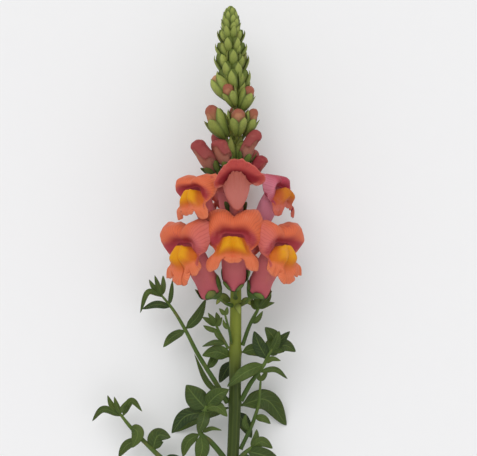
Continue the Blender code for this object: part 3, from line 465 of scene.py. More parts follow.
class Shape:
    """Closed bodies gathered into one mesh, with named marks kept on every point."""

    def __init__(self):
        self.verts = []
        self.faces = []
        self.marks = {}

    def add(self, rings, first, last, **marks):
        """Add a body of rings closed by a point at each end, its faces turned outwards."""
        rings = np.asarray(rings, float)
        rows, n = rings.shape[:2]
        verts = np.vstack([first, rings.reshape(-1, 3), last])
        j = np.arange(n)
        m = (j + 1) % n
        faces = [(0, 1 + b, 1 + a) for a, b in zip(j, m)]
        for k in range(rows - 1):
            a = 1 + k * n
            faces += [(a + p, a + q, a + n + q, a + n + p) for p, q in zip(j, m)]
        a = 1 + (rows - 1) * n
        faces += [(a + p, a + q, len(verts) - 1) for p, q in zip(j, m)]
        volume = 0.0
        for f in faces:
            volume += verts[f[0]].dot(np.cross(verts[f[1]], verts[f[2]]))
            if len(f) == 4:
                volume += verts[f[0]].dot(np.cross(verts[f[2]], verts[f[3]]))
        if volume < 0:
            faces = [f[::-1] for f in faces]
        start = sum(len(v) for v in self.verts)
        self.verts.append(verts)
        self.faces += [tuple(start + i for i in f) for f in faces]
        for name, value in marks.items():
            grid = np.broadcast_to(np.asarray(value, float), (rows, n))
            flat = np.concatenate([[grid[0].mean()], grid.ravel(), [grid[-1].mean()]])
            self.marks.setdefault(name, []).append((start, flat))

    def piece(self, name, slot, finish, node):
        """Make the Blender object, hang it on the frame and hide the part that it stands in for."""
        mesh = bpy.data.meshes.new(name)
        verts = np.vstack(self.verts) * 0.001
        mesh.from_pydata(verts.tolist(), [], self.faces)
        mesh.polygons.foreach_set("use_smooth", [True] * len(mesh.polygons))
        for mark, runs in self.marks.items():
            values = np.zeros(len(verts))
            for start, flat in runs:
                values[start:start + len(flat)] = flat
            mesh.attributes.new(mark, "FLOAT", "POINT").data.foreach_set("value", values)
        mesh.materials.append(finish)
        obj = bpy.data.objects.new(name, mesh)
        bpy.context.scene.collection.objects.link(obj)
        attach(obj, "root")
        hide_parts(node)


def tone(red, green, blue):
    """Screen colour, 0 to 255, to the renderer's linear colour."""
    out = []
    for value in (red, green, blue):
        c = value / 255
        out.append(c / 12.92 if c <= 0.04045 else ((c + 0.055) / 1.055) ** 2.4)
    return (*out, 1.0)


class Wiring:
    """Short calls that add and link the nodes of one material or group."""

    def __init__(self, tree):
        self.tree = tree

    def add(self, kind, *inputs, **settings):
        node = self.tree.nodes.new(kind)
        for key, value in settings.items():
            setattr(node, key, value)
        for socket, value in zip(node.inputs, inputs):
            self.feed(socket, value)
        return node

    def feed(self, socket, value):
        if value is None:
            return
        if isinstance(value, bpy.types.NodeSocket):
            self.tree.links.new(value, socket)
        else:
            socket.default_value = value

    def mark(self, name):
        return self.add("ShaderNodeAttribute", attribute_name=name).outputs["Fac"]

    def math(self, operation, a, b=None, clamp=False):
        return self.add("ShaderNodeMath", a, b, operation=operation, use_clamp=clamp).outputs[0]

    def step(self, value, low, high):
        """0 below low, 1 above high, smooth between."""
        node = self.add("ShaderNodeMapRange", interpolation_type="SMOOTHSTEP")
        self.feed(node.inputs["Value"], value)
        node.inputs["From Min"].default_value = low
        node.inputs["From Max"].default_value = high
        return node.outputs[0]

    def mix(self, amount, below, above):
        node = self.add("ShaderNodeMix", data_type="RGBA", blend_type="MIX")
        for key, value in (("Factor", amount), ("A", below), ("B", above)):
            self.feed(node.inputs[key], value)
        return node.outputs["Result"]

    def over(self, mask, strength, below, above):
        """Lay one colour over another where the mask says, at a part of its strength."""
        return self.mix(self.math("MULTIPLY", mask, strength), below, above)

    def stripes(self, phase):
        """0 to 1 and back, once for each whole step of the phase."""
        return self.math("ABSOLUTE", self.math("SINE", self.math("MULTIPLY", phase, math.pi)))

    def noise(self, scale, detail=2.0, rough=0.5):
        node = self.add("ShaderNodeTexNoise", self.add("ShaderNodeTexCoord").outputs["Object"])
        node.inputs["Scale"].default_value = scale
        node.inputs["Detail"].default_value = detail
        node.inputs["Roughness"].default_value = rough
        return node.outputs["Fac"]

    def group(self, tree, **values):
        node = self.add("ShaderNodeGroup", node_tree=tree)
        for key, value in values.items():
            self.feed(node.inputs[key], value)
        return node.outputs


def new_group(name, inputs, outputs):
    """An empty node group with named float sockets."""
    tree = bpy.data.node_groups.new(name, "ShaderNodeTree")
    for key, value in inputs.items():
        socket = tree.interface.new_socket(key, in_out="INPUT", socket_type="NodeSocketFloat")
        socket.default_value = value
    for key in outputs:
        tree.interface.new_socket(key, in_out="OUTPUT", socket_type="NodeSocketFloat")
    w = Wiring(tree)
    return tree, w, w.add("NodeGroupInput").outputs, w.add("NodeGroupOutput").inputs


def petal_vein_group():
    """Fine lines that run from the throat to the petal's edge and wander a little."""
    tree, w, given, out = new_group("petal_veins", {"Around": 0.0, "Count": 60.0, "Wander": 0.6},
                                    ["Vein"])
    drift = w.math("MULTIPLY", w.math("SUBTRACT", w.noise(180.0, 3.0), 0.5), given["Wander"])
    wave = w.stripes(w.math("ADD", w.math("MULTIPLY", given["Around"], given["Count"]), drift))
    w.feed(out["Vein"], w.math("POWER", w.math("SUBTRACT", 1.0, wave), 3.0))
    return tree


def leaf_vein_group():
    """Midrib and slanting side veins from a leaf's along and across marks."""
    tree, w, given, out = new_group("leaf_veins", {"Along": 0.0, "Across": 0.0, "Pairs": 7.0},
                                    ["Midrib", "Side veins"])
    off = w.math("ABSOLUTE", given["Across"])
    w.feed(out["Midrib"], w.math("SUBTRACT", 1.0, w.step(off, 0.0, 0.11)))
    slant = w.math("SUBTRACT", given["Along"], w.math("MULTIPLY", w.math("POWER", off, 0.8), 0.22))
    drift = w.math("MULTIPLY", w.noise(260.0), 0.05)
    wave = w.stripes(w.math("MULTIPLY", w.math("ADD", slant, drift), given["Pairs"]))
    line = w.math("SUBTRACT", 1.0, w.step(wave, 0.0, 0.30))
    w.feed(out["Side veins"], w.math("MULTIPLY", line, w.step(off, 0.98, 0.5)))
    return tree


def mottle_group():
    """Slow and quick colour variation, about 0.5, as a living surface has."""
    tree, w, given, out = new_group("mottle", {"Strength": 0.5}, ["Value"])
    slow = w.math("SUBTRACT", w.noise(70.0), 0.5)
    quick = w.math("SUBTRACT", w.noise(420.0, 3.0, 0.6), 0.5)
    both = w.math("ADD", w.math("MULTIPLY", slow, 1.4), w.math("MULTIPLY", quick, 0.6))
    both = w.math("MULTIPLY", both, given["Strength"])
    w.feed(out["Value"], w.math("ADD", both, 0.5, clamp=True))
    return tree


PETAL_VEINS = petal_vein_group()
LEAF_VEINS = leaf_vein_group()
MOTTLE = mottle_group()


def finish_material(name, roughness, subsurface=0.0, specular=0.35):
    """A plain material with the light that soaks through living tissue."""
    mat = bpy.data.materials.new(name)
    mat.use_nodes = True
    shader = mat.node_tree.nodes["Principled BSDF"]
    shader.inputs["Roughness"].default_value = roughness
    shader.inputs["Specular IOR Level"].default_value = specular
    if subsurface:
        shader.inputs["Subsurface Weight"].default_value = subsurface
        shader.inputs["Subsurface Radius"].default_value = (0.002, 0.0012, 0.0008)
        shader.inputs["Subsurface Scale"].default_value = 1.0
    return mat, Wiring(mat.node_tree), shader


def bump(w, shader, height, strength, depth=RELIEF):
    """Fine relief from a height."""
    node = w.add("ShaderNodeBump")
    node.inputs["Strength"].default_value = strength
    node.inputs["Distance"].default_value = depth
    w.feed(node.inputs["Height"], height)
    w.feed(shader.inputs["Normal"], node.outputs["Normal"])


def petal_material(name, tones):
    """Tube, lips and palate of a flower, coloured by the marks that the petal mesh carries."""
    mat, w, shader = finish_material(name, 0.6, subsurface=0.12, specular=0.18)
    turn, rise, reach = w.mark("turn"), w.mark("rise"), w.mark("reach")
    tube = w.mix(w.step(rise, 0.15, 0.95), tones["pouch"], tones["tube"])
    outside = w.mix(w.step(reach, 0.02, 0.55), tube, tones["back"])
    # Partly painted shade: the upper lip darkens to deep crimson towards its fold into the throat,
    # partly the lip's own colour and partly shade painted where the fold turns away.
    corner = w.math("MULTIPLY", w.step(turn, 0.80, 0.56), 0.42)
    from_fold = w.step(w.math("SUBTRACT", reach, corner), 0.0, 0.46)
    above = w.mix(from_fold, tones["lip_base_and_fold_shade"], tones["lip"])
    above = w.over(w.step(reach, 0.80, 1.0), 0.6, above, tones["lip_edge"])
    above = w.over(w.mark("inner"), 0.72, above, tones["tube"])
    near = w.math("MULTIPLY", w.step(reach, 0.42, 0.16), w.step(turn, 0.42, 0.24))
    below = w.mix(w.step(reach, 0.60, 0.28), tones["lobe"], tones["flank"])
    below = w.mix(near, below, tones["palate"])
    below = w.over(w.step(reach, 0.86, 1.0), 0.5, below, tones["lobe_edge"])
    front = w.mix(w.step(turn, 0.50, 0.60), below, above)
    colour = w.mix(w.mark("face"), outside, front)
    # Painted shade: the mouth darkens to the throat tone under the upper lip, where shade falls in
    # the gap above the palate.
    colour = w.mix(w.mark("deep"), colour, tones["throat"])
    patches = w.group(MOTTLE, Strength=0.9)["Value"]
    spots = w.math("MULTIPLY", w.step(patches, 0.34, 0.0), w.step(turn, 0.30, 0.55))
    colour = w.mix(spots, colour, tones["lip_base_and_fold_shade"])
    colour = w.over(w.step(patches, 0.55, 0.95), 0.35, colour, tones["light"])
    veins = w.group(PETAL_VEINS, Around=turn, Count=46.0, Wander=1.1)["Vein"]
    colour = w.over(veins, 0.36, colour, tones["vein"])
    w.feed(shader.inputs["Base Color"], colour)
    bump(w, shader, w.math("ADD", w.math("MULTIPLY", veins, -0.5), patches), 0.35)
    return mat


def bud_petal_material(name, tongue, tongue_end, hood_foot, hood_end):
    """Shut petals: a rose hood over a paler tongue."""
    mat, w, shader = finish_material(name, 0.6, subsurface=0.10, specular=0.18)
    rise = w.mark("rise")
    low = w.mix(w.step(rise, 0.2, 0.8), tongue, tongue_end)
    high = w.mix(w.step(rise, 0.3, 0.95), hood_foot, hood_end)
    colour = w.mix(w.mark("hood"), low, high)
    patches = w.group(MOTTLE, Strength=1.0)["Value"]
    colour = w.over(w.step(patches, 0.5, 0.95), 0.5, colour, tone(196, 118, 98))
    colour = w.over(w.step(patches, 0.4, 0.05), 0.5, colour, tone(116, 34, 42))
    veins = w.group(PETAL_VEINS, Around=w.mark("side"), Count=26.0, Wander=1.0)["Vein"]
    colour = w.over(veins, 0.45, colour, tone(128, 52, 56))
    w.feed(shader.inputs["Base Color"], colour)
    bump(w, shader, w.math("SUBTRACT", patches, w.math("MULTIPLY", veins, 0.5)), 0.4)
    return mat


def bud_tip_material():
    """Petal points still green, just turning rosy."""
    mat, w, shader = finish_material("bud_tip", 0.55, subsurface=0.08, specular=0.22)
    patches = w.group(MOTTLE, Strength=1.0)["Value"]
    colour = w.mix(w.step(w.mark("rise"), 0.55, 1.0), tone(112, 132, 58), tone(186, 132, 96))
    colour = w.over(w.step(patches, 0.5, 1.0), 0.5, colour, tone(160, 170, 92))
    w.feed(shader.inputs["Base Color"], colour)
    bump(w, shader, patches, 0.3, 0.0003)
    return mat


def sepal_material(name, dark, light, rim):
    """Sepals, bracts and scales: pale along the middle, darker at the rim."""
    mat, w, shader = finish_material(name, 0.55, subsurface=0.05, specular=0.22)
    lengthwise, across = w.mark("along"), w.mark("across")
    veins = w.group(LEAF_VEINS, Along=lengthwise, Across=across, Pairs=5.0)
    colour = w.mix(w.step(lengthwise, 0.1, 0.9), dark, light)
    colour = w.over(w.step(w.math("ABSOLUTE", across), 0.45, 1.0), 0.85, colour, rim)
    colour = w.over(veins["Midrib"], 0.4, colour, light)
    colour = w.over(veins["Side veins"], 0.25, colour, rim)
    patches = w.group(MOTTLE, Strength=1.0)["Value"]
    colour = w.over(w.step(patches, 0.5, 1.0), 0.5, colour, light)
    colour = w.over(w.step(patches, 0.45, 0.0), 0.6, colour, rim)
    colour = w.over(w.step(w.noise(130.0, 3.0, 0.6), 0.52, 0.72), 0.35, colour, tone(140, 116, 70))
    colour = w.over(w.mark("tint"), 0.45, colour, dark)
    w.feed(shader.inputs["Base Color"], colour)
    bump(w, shader, w.math("ADD", patches, w.math("MULTIPLY", veins["Midrib"], 0.5)), 0.4)
    return mat


def leaf_material():
    """Glossy dark green blade with a pale midrib, fine side veins and a paler underside."""
    mat, w, shader = finish_material("leaf", 0.5, subsurface=0.04, specular=0.26)
    across = w.mark("across")
    veins = w.group(LEAF_VEINS, Along=w.mark("along"), Across=across, Pairs=8.0)
    patches = w.group(MOTTLE, Strength=1.0)["Value"]
    colour = w.mix(w.mark("tint"), tone(36, 54, 20), tone(64, 82, 28))
    rim = w.step(w.math("ABSOLUTE", across), 0.86, 1.0)
    for mask, strength, laid in (
            (w.mark("young"), 0.8, tone(92, 110, 44)),
            (w.step(patches, 0.45, 0.95), 0.6, tone(84, 104, 40)),
            (w.step(patches, 0.45, 0.0), 0.7, tone(26, 46, 22)),
            (w.mark("under"), 0.5, tone(96, 118, 62)),
            (veins["Side veins"], 0.22, tone(118, 146, 74)),
            (veins["Midrib"], 0.42, tone(118, 138, 66)),
            (rim, 0.45, tone(40, 56, 26))):
        colour = w.over(mask, strength, colour, laid)
    w.feed(shader.inputs["Base Color"], colour)
    height = w.math("ADD", w.math("MULTIPLY", veins["Side veins"], -0.6),
                    w.math("MULTIPLY", veins["Midrib"], -0.8))
    bump(w, shader, w.math("ADD", height, w.math("MULTIPLY", patches, 0.5)), 0.5)
    return mat


def stem_material():
    """Olive stem with painted shade on its lower half, where leaves and shoots lie over it, faint
    long streaks, and a pale ring and pith on the cut end.
    """
    mat, w, shader = finish_material("stem", 0.55, subsurface=0.03, specular=0.25)
    around = w.math("ADD", w.math("MULTIPLY", w.mark("side"), 9.0), w.noise(24.0))
    streak = w.math("SINE", w.math("MULTIPLY", around, 2 * math.pi))
    patches = w.group(MOTTLE, Strength=0.9)["Value"]
    # Painted shade: the lower half of the stem, towards the cut end, is dark olive and the upper
    # half lighter.
    colour = w.mix(w.step(w.mark("along"), 0.44, 0.58), tone(54, 68, 22), tone(124, 134, 46))
    colour = w.over(w.step(streak, 0.0, 1.0), 0.16, colour, tone(110, 122, 52))
    colour = w.over(w.step(patches, 0.45, 0.0), 0.5, colour, tone(66, 62, 24))
    colour = w.mix(w.mark("cut"), colour, tone(196, 204, 150))
    w.feed(shader.inputs["Base Color"], colour)
    bump(w, shader, w.math("ADD", w.math("MULTIPLY", streak, 0.3), patches), 0.3)
    return mat


def floor_material():
    """A matt, nearly white table top."""
    mat, w, shader = finish_material("pale_table", 0.9, specular=0.1)
    grain = w.group(MOTTLE, Strength=0.2)["Value"]
    w.feed(shader.inputs["Base Color"], w.mix(grain, tone(240, 240, 241), tone(243, 243, 244)))
    return mat


# In each set the throat tone is painted shade inside the mouth.
# The lip base tone is partly the upper lip's own deep crimson and partly painted shade at the fold
# into the throat.
PETAL_TONES = {
    "petal_coral": {
        "pouch": tone(178, 84, 96), "tube": tone(196, 104, 106), "back": tone(196, 96, 84),
        "lip_base_and_fold_shade": tone(164, 58, 66), "lip": tone(214, 106, 68), "lip_edge": tone(220, 124, 98),
        "lobe": tone(218, 116, 76), "flank": tone(204, 108, 32), "palate": tone(220, 152, 8),
        "lobe_edge": tone(212, 126, 96), "throat": tone(110, 30, 42), "light": tone(216, 132, 100),
        "vein": tone(150, 48, 54),
    },
    "petal_crimson": {
        "pouch": tone(222, 128, 150), "tube": tone(216, 134, 152), "back": tone(168, 64, 84),
        "lip_base_and_fold_shade": tone(158, 34, 56), "lip": tone(170, 58, 76), "lip_edge": tone(190, 90, 102),
        "lobe": tone(186, 90, 66), "flank": tone(184, 90, 42), "palate": tone(194, 114, 24),
        "lobe_edge": tone(196, 100, 84), "throat": tone(110, 22, 40), "light": tone(210, 142, 150),
        "vein": tone(140, 34, 58),
    },
    "petal_dusky": {
        "pouch": tone(190, 96, 100), "tube": tone(196, 116, 106), "back": tone(176, 96, 82),
        "lip_base_and_fold_shade": tone(134, 28, 38), "lip": tone(180, 72, 66), "lip_edge": tone(206, 116, 100),
        "lobe": tone(178, 104, 84), "flank": tone(172, 98, 74), "palate": tone(180, 108, 76),
        "lobe_edge": tone(196, 112, 96), "throat": tone(110, 28, 38), "light": tone(200, 134, 112),
        "vein": tone(140, 56, 58),
    },
}
# Bud petals: foot and end of the tongue, foot and end of the hood.
BUD_TONES = {
    "bud_petal": (tone(160, 108, 92), tone(164, 104, 84), tone(156, 84, 80), tone(152, 68, 66)),
    "dark_bud_petal": (tone(160, 84, 84), tone(160, 76, 70), tone(160, 62, 70), tone(140, 44, 52)),
    "young_petal": (tone(134, 124, 66), tone(180, 124, 92), tone(128, 118, 60), tone(158, 92, 72)),
}
# Sepals and scales: dark, light and rim.
SEPAL_TONES = {
    "sepal": (tone(64, 86, 34), tone(104, 124, 54), tone(48, 62, 28)),
    "scale": (tone(92, 108, 40), tone(158, 168, 84), tone(62, 74, 32)),
}
FINISH = {
    **{name: petal_material(name, tones) for name, tones in PETAL_TONES.items()},
    **{name: bud_petal_material(name, *tones) for name, tones in BUD_TONES.items()},
    **{name: sepal_material(name, *tones) for name, tones in SEPAL_TONES.items()},
    "leaf": leaf_material(),
    "stem": stem_material(),
    "bud_tip": bud_tip_material(),
}


def tube_surface(k, angle, grow=0.0, slim=1.0):
    """Flower tube at place k (0 foot, 3 mouth) and an angle (0 is the outer side), grown a bit."""
    a, b, wide, deep, lean = through(k, TUBE_PLACES, TUBE)[0]
    wide *= 1 + (slim - 1) * min(k / SLIM_FROM, 1.0)
    t, w = math.radians(lean), math.radians(angle)
    up = np.array([-math.sin(t), math.cos(t), 0])
    pouch = POUCH_DEPTH * math.exp(-((k - POUCH_PLACE) / 0.5) ** 2) * max(0.0, math.cos(w)) ** 2
    return np.array([a, b, math.sin(w) * (wide + grow)]) - up * math.cos(w) * (deep + grow + pouch)


def flower_place(y_layout, turn, lean, swing, size, stalk_more):
    """Function that puts a flower point (outward, upward, sideways) on the stem."""
    foot, axis, _ = stem_at(y_layout)
    t, g, w = math.radians(turn), math.radians(lean), math.radians(swing)
    outward = np.array([math.sin(t), 0, math.cos(t)])
    outward = unit(outward - axis * outward.dot(axis))
    side = np.cross(axis, outward)

    def place(points):
        p = np.asarray(points, float)
        a, b, c = p[..., 0] - TUBE_FOOT[0], p[..., 1], p[..., 2]
        a, b = a * math.cos(g) + b * math.sin(g), b * math.cos(g) - a * math.sin(g)
        b, c = b * math.cos(w) + c * math.sin(w), c * math.cos(w) - b * math.sin(w)
        reach = TUBE_FOOT[0] + stalk_more + size * a
        return (foot + reach[..., None] * outward + (size * b)[..., None] * axis
                + (size * c)[..., None] * side)
    return place


def lip_row(lips, row, angles):
    """One row of the lips at every column angle; the left half mirrors the right."""
    knots = EDGE_ANGLES if row == "edge" else LIP_ANGLES
    pts = through(np.abs(angles), knots, lips[row])
    pts[:, 2] *= np.sign(angles)
    return pts


def floor_size(y_layout, turn, size, lips):
    """Size at which a flower on the underside just rests on the table."""
    angles = np.linspace(-180, 180, 90, endpoint=False)
    near_stem, tries, spare = 14, 12, 0.985
    drop = stem_at(y_layout)[0][2] - near_stem
    for _ in range(tries):
        place = flower_place(y_layout, turn, 0, 0, size, 0)
        low = min(place(lip_row(lips, row, angles))[:, 2].min()
                  for row in ("dome", "crest", "lobe", "edge"))
        size *= drop / (drop - low)
    return size * spare


def own_lips(lips, angles, upper, shape_of):
    """The rows of one flower's lips, bent from the common shape to its own."""
    drop, left, right, tall, shift, wing_left, wing_right, _ = shape_of
    off = np.abs(angles)
    lower_width = np.where(angles < 0, left, right)
    wing = np.where(angles < 0, wing_left, wing_right)
    rows = {name: lip_row(lips, name, angles) for name in LIP_ROWS}
    for name, share in OWN_SHARE.items():
        row = rows[name]
        # The wings of the upper lip spread and rise at their corners.
        row[:, 2] *= 1 + (wing - 1) * share * upper
        row[:, 1] += 17 * (wing - 1) * share * np.exp(-((off - 114) / 17) ** 2)
        # The lower lip moves sideways, its middle lobe hangs and its side lobes lift.
        row[:, 2] += shift * (1 - upper)
        row[:, 1] -= drop * share * np.exp(-(angles / 34) ** 4)
        row[:, 1] += 0.35 * drop * share * np.exp(-((off - 68) / 20) ** 2)
        row[:, 2] *= 1 + 0.07 * drop * share * np.exp(-(angles / 30) ** 4)
        row[:, 2] *= 1 + (lower_width - 1) * share * (1 - upper)
        # The roof of the upper lip is lowered from a little above the mouth.
        row[:, 1] -= (1 - tall) * upper * np.maximum(row[:, 1] - 39, 0)
    return rows


def lip_sheets(rows, tube_end, upper, shut):
    """Back and front of the lobes as two smooth sheets that meet at the edge."""
    neck, throat, crest, dome, crease, lobe, edge = (rows[name] for name in LIP_ROWS)
    upper = upper[:, None]
    thin = np.array([1.0, 0.15, 0.0])
    if shut:
        thin = thin * (2 * upper - 1)
        root = neck + (crest - neck) * 0.45 + np.array([1.2, 0, 0]) * (1 - upper)
    else:
        root = neck + (crest - neck) * (0.62 - 0.32 * upper) - np.array([0, 1.0, 0]) * (1 - upper)
    back = [tube_end, neck, root, crease - 1.3 * thin, lobe - 0.75 * thin, edge - 0.22 * thin]
    front = [edge + 0.22 * thin, lobe, crease, dome, crest, throat]
    sheets = []
    for sheet, knots, count in ((back, BACK_KNOTS, BACK_ROWS), (front, FRONT_KNOTS, FRONT_ROWS)):
        shares = weights(np.linspace(0, knots[-1], count), knots)
        sheets.append(np.einsum("ij,jkl->ikl", shares, np.array(sheet)))
    return sheets


def petals(name, lips, place, ruffle, colouring, shape_of, seed):
    """Joined petals as one closed body: tube, backs of the lobes, their fronts and the palate."""
    rng = random.Random(seed)
    angles = np.linspace(-180, 180, PETAL_COLUMNS, endpoint=False)
    off = np.abs(angles)
    upper = ease(off, 90, 110)
    shut = lips is HALF_OPEN
    tube_places = np.linspace(0.02, 3.0, TUBE_ROWS)
    tube = np.array([[tube_surface(k, a, slim=shape_of[-1]) for a in angles] for k in tube_places])
    back, front = lip_sheets(own_lips(lips, angles, upper, shape_of), tube[-1], upper, shut)
    back_reach = ease(np.linspace(0, BACK_KNOTS[-1], BACK_ROWS), 9, 30)
    front_reach = np.clip(1 - np.linspace(0, FRONT_KNOTS[-1], FRONT_ROWS) / 18.0, 0, 1)

    # Ruffles grow towards the edges of the lobes.
    phases = [rng.uniform(0, 2 * math.pi) for _ in range(6)]
    turn = np.radians(angles)
    wave = (0.55 * np.sin(9 * turn + phases[0]) + 0.45 * np.sin(17 * turn + phases[1])
            + 0.3 * np.sin(29 * turn + phases[2]))
    lift = 0.35 * np.sin(13 * turn + phases[3]) + 0.25 * np.sin(23 * turn + phases[4])
    for sheet, reach in ((back, back_reach), (front, front_reach)):
        grow = ruffle * reach[:, None] ** 1.7
        sheet[:, :, 0] += grow * wave * 0.8
        sheet[:, :, 1] += grow * lift * 0.8

    # One closed body, warped a little, with the marks that its material reads.
    rings = np.concatenate([tube, back[1:], front])
    rise = np.concatenate([tube_places / 3.0, np.ones(len(rings) - TUBE_ROWS)])[:, None]
    warp = 0.35 * np.sin(rings[:, :, [1, 2, 0]] * 0.35 + np.array(phases[:3]))
    rings = rings + warp * ease(rise, 0.2, 1.0)[:, :, None]
    reach = np.concatenate([np.zeros(TUBE_ROWS), back_reach[1:], front_reach])[:, None]
    face = np.concatenate([np.zeros(len(rings) - FRONT_ROWS), np.ones(FRONT_ROWS)])[:, None]
    # Painted shade mark: the last front rows, running into the mouth, are darkened in the material
    # as shade inside the throat.
    throat = np.concatenate([np.zeros(len(rings) - 4), [0.1, 0.3, 0.6, 0.9]])[:, None]
    left, right = shape_of[1:3]
    inward = np.sign(left - right) if abs(left - right) > 0.2 else 0.0
    inner = ease(inward * angles, 92, 112) * ease(inward * angles, 162, 124)
    shape = Shape()
    foot = place(np.array([TUBE_FOOT[0], TUBE_FOOT[1], 0.0]))
    mouth = place(np.array([MOUTH[0] - (MOUTH_SUNK if shut else 0), MOUTH[1], 0.0]))
    shape.add(place(rings), foot, mouth, rise=rise, reach=reach, face=face,
              deep=throat * ease(off, 60, 120), turn=off[None, :] / 180, inner=inner[None, :])
    shape.piece(name + "_petals", "petals", FINISH["petal_" + colouring], "petals_" + name)


def shell(shape, surface, low, high, turn, spread, thick, flare, tint,
          point=1.0, columns=9, rows=12):
    """A sepal or scale laid on a surface: widest below the middle, pointed, lifting at its tip."""
    xs = np.linspace(-1, 1, columns)
    rings = []
    for t in np.linspace(0, 1, rows):
        width = spread * (0.62 + 0.75 * t) * (1 - t ** (1.5 + point)) ** 0.75 + 1.2
        k = low + (high - low) * t
        lift = flare * t ** 2.4
        ring = []
        for x in xs:
            crown = thick * (0.18 + 0.82 * (1 - x * x) ** 0.5) * (1 - 0.5 * t)
            ring.append(surface(k, turn + width * x, lift + crown + 0.25 * flare * t * x * x))
        for x in xs[::-1]:
            ring.append(surface(k, turn + width * x, lift + 0.25 * flare * t * x * x))
        rings.append(ring)
    rings = np.array(rings)
    across = np.concatenate([xs, xs[::-1]])
    shape.add(rings, rings[0].mean(0), rings[-1].mean(0), along=np.linspace(0, 1, rows)[:, None],
              across=across[None, :], tint=tint)


def stalk(shape, points, radii, tint=0.2, columns=16, rows=14):
    """A round stalk through millimetre points, closed at both ends."""
    line = along([list(p) + [r] for p, r in zip(points, radii)], rows)
    turns = np.linspace(0, 2 * math.pi, columns, endpoint=False)[:, None]
    rings = []
    for (_, u, v), p in zip(travelling_sides(line[:, :3], np.array([0.31, 0.2, 0.93])), line):
        rings.append(p[:3] + p[3] * (u * np.cos(turns) + v * np.sin(turns)))
    shape.add(rings, line[0, :3], line[-1, :3], along=np.linspace(0, 0.6, rows)[:, None],
              across=0.3, tint=tint)


def calyx(name, y_layout, place, size, seed):
    """Green stalk, cup and five sepals that hold the foot of a flower."""
    rng = random.Random(seed)
    shape = Shape()
    foot = place(np.array([TUBE_FOOT[0], TUBE_FOOT[1], 0.0]))
    toward = unit(foot - place(np.array([16.6, 5.6, 0.0])))
    root, axis, radius = stem_at(y_layout + 11 * size)
    out = unit(foot - root - axis * (foot - root).dot(axis))
    start = root + out * (radius - 0.3)
    middle = (start + foot + toward) / 2 - axis
    stalk(shape, [start, middle, foot + toward * 1.3, foot - toward * 0.6], [1.5, 1.0, 1.25, 2.1])

    def surface(k, angle, grow):
        return place(tube_surface(k, angle, grow / size))
    rows = np.linspace(0.05, 0.75, 8)
    turns = np.linspace(0, 360, 40, endpoint=False)
    outer = [[surface(k, a, 1.0 - 0.3 * k) for a in turns] for k in rows]
    inner = [[surface(k, a, 0.28) for a in turns] for k in rows[::-1]]
    shape.add(outer + inner, foot + toward * 0.8, foot + toward * 0.3,
              along=0.2, across=0.3, tint=0.3)
    for i in range(SEPALS):
        high = rng.uniform(1.2, 1.6) + 0.25 * (i in (1, 2, 3))
        turn = 72 * i + 36 + rng.uniform(-5, 5)
        shell(shape, surface, 0.45, high, turn, 30, 0.75, rng.uniform(0.6, 1.5), rng.uniform(0, 1),
              columns=11, rows=14)
    shape.piece(name + "_calyx", "calyx_green", FINISH["sepal"], "calyx_" + name)


def round_surface(line, facing, least=-math.inf):
    """Surface function of a bud: place 0 to 1 along it, angle from the side that faces out, and how
    far to stand proud of the radius that the line carries."""
    sides = travelling_sides(line[:, :3], facing)
    last = len(line) - 1

    def surface(k, angle, grow):
        x = min(max(k, 0.0), 1.0) * last
        i = min(int(x), last - 1)
        p = line[i] + (line[i + 1] - line[i]) * (x - i)
        _, u, v = sides[i]
        w = math.radians(angle)
        return p[:3] + max(p[3] + grow, least) * (u * math.cos(w) + v * math.sin(w))
    return surface


def bud_body(shape, surface, line, proud, seed, low=0.0):
    """Shut petals: the hood stands proud of the tongue along a curved seam."""
    rng = random.Random(seed)
    lean = rng.uniform(-12, 12)
    angles = np.linspace(-180, 180, BUD_COLUMNS, endpoint=False)
    places = np.linspace(low, 1.0, BUD_ROWS)
    turned = np.abs(angles - lean)
    # The seam is highest over the middle of the tongue and lowest at the back of the hood.
    seam = 0.82 - 0.30 * ease(turned, 22, 70) - 0.25 * ease(turned, 100, 160)
    rings = np.zeros((BUD_ROWS, BUD_COLUMNS, 3))
    hood = np.zeros((BUD_ROWS, BUD_COLUMNS))
    for i, k in enumerate(places):
        hood[i] = ease(k - seam, -0.035, 0.035)
        fold = 0.30 * np.cos(np.radians(3 * angles + 40 * k)) * ease(k, 0.3, 0.9)
        past = max(0.0, (k - ROUND_FROM) / (1 - ROUND_FROM))
        round_off = 0.35 + 0.65 * math.sqrt(max(0.0, 1 - past ** 2))
        centre = (surface(k, 0, -100) + surface(k, 180, -100)) / 2
        for j, a in enumerate(angles):
            p = surface(k, a, proud * (hood[i, j] - 0.75) + fold[j])
            rings[i, j] = centre + (p - centre) * round_off
    end = line[-1, :3] + unit(line[-1, :3] - line[-2, :3]) * line[-1, 3] * 0.10
    shape.add(rings, line[0, :3], end, hood=hood, rise=places[:, None],
              side=np.abs(angles)[None, :] / 180)


def bud_line(points, radii):
    """A bud's axis in millimetres with its radius."""
    return along([list(at(*p)) + [r] for p, r in zip(points, radii)], 40)


def pink_bud(name, foot, points, radii, seed):
    """Shut rose petals in a green calyx on a short stalk."""
    rng = random.Random(seed)
    line = bud_line(points, radii)
    surface = round_surface(line, away_from_stem(at(*points[2])))
    body = Shape()
    bud_body(body, surface, line, 1.5, seed)
    finish = FINISH["dark_bud_petal" if name == "right_low" else "bud_petal"]
    body.piece("pink_bud_petals_" + name, "pink_buds", finish, "pink_bud_" + name)
    green = Shape()
    start = at(*foot)
    below = line[0, :3] - unit(line[1, :3] - line[0, :3])
    middle = (start + below) / 2 - np.array([0, 1.2, 0])
    stalk(green, [start, middle, below, line[2, :3]], [1.3, 1.0, 1.3, radii[0] - 0.4])
    for i in range(SEPALS):
        high = rng.uniform(0.34, 0.44)
        turn = 72 * i + 36 + rng.uniform(-6, 6)
        shell(green, surface, 0.0, high, turn, 34, 0.6, rng.uniform(0.3, 0.9), rng.uniform(0, 1))
    green.piece("pink_bud_calyx_" + name, "calyx_green", FINISH["sepal"], "bud_calyx_" + name)


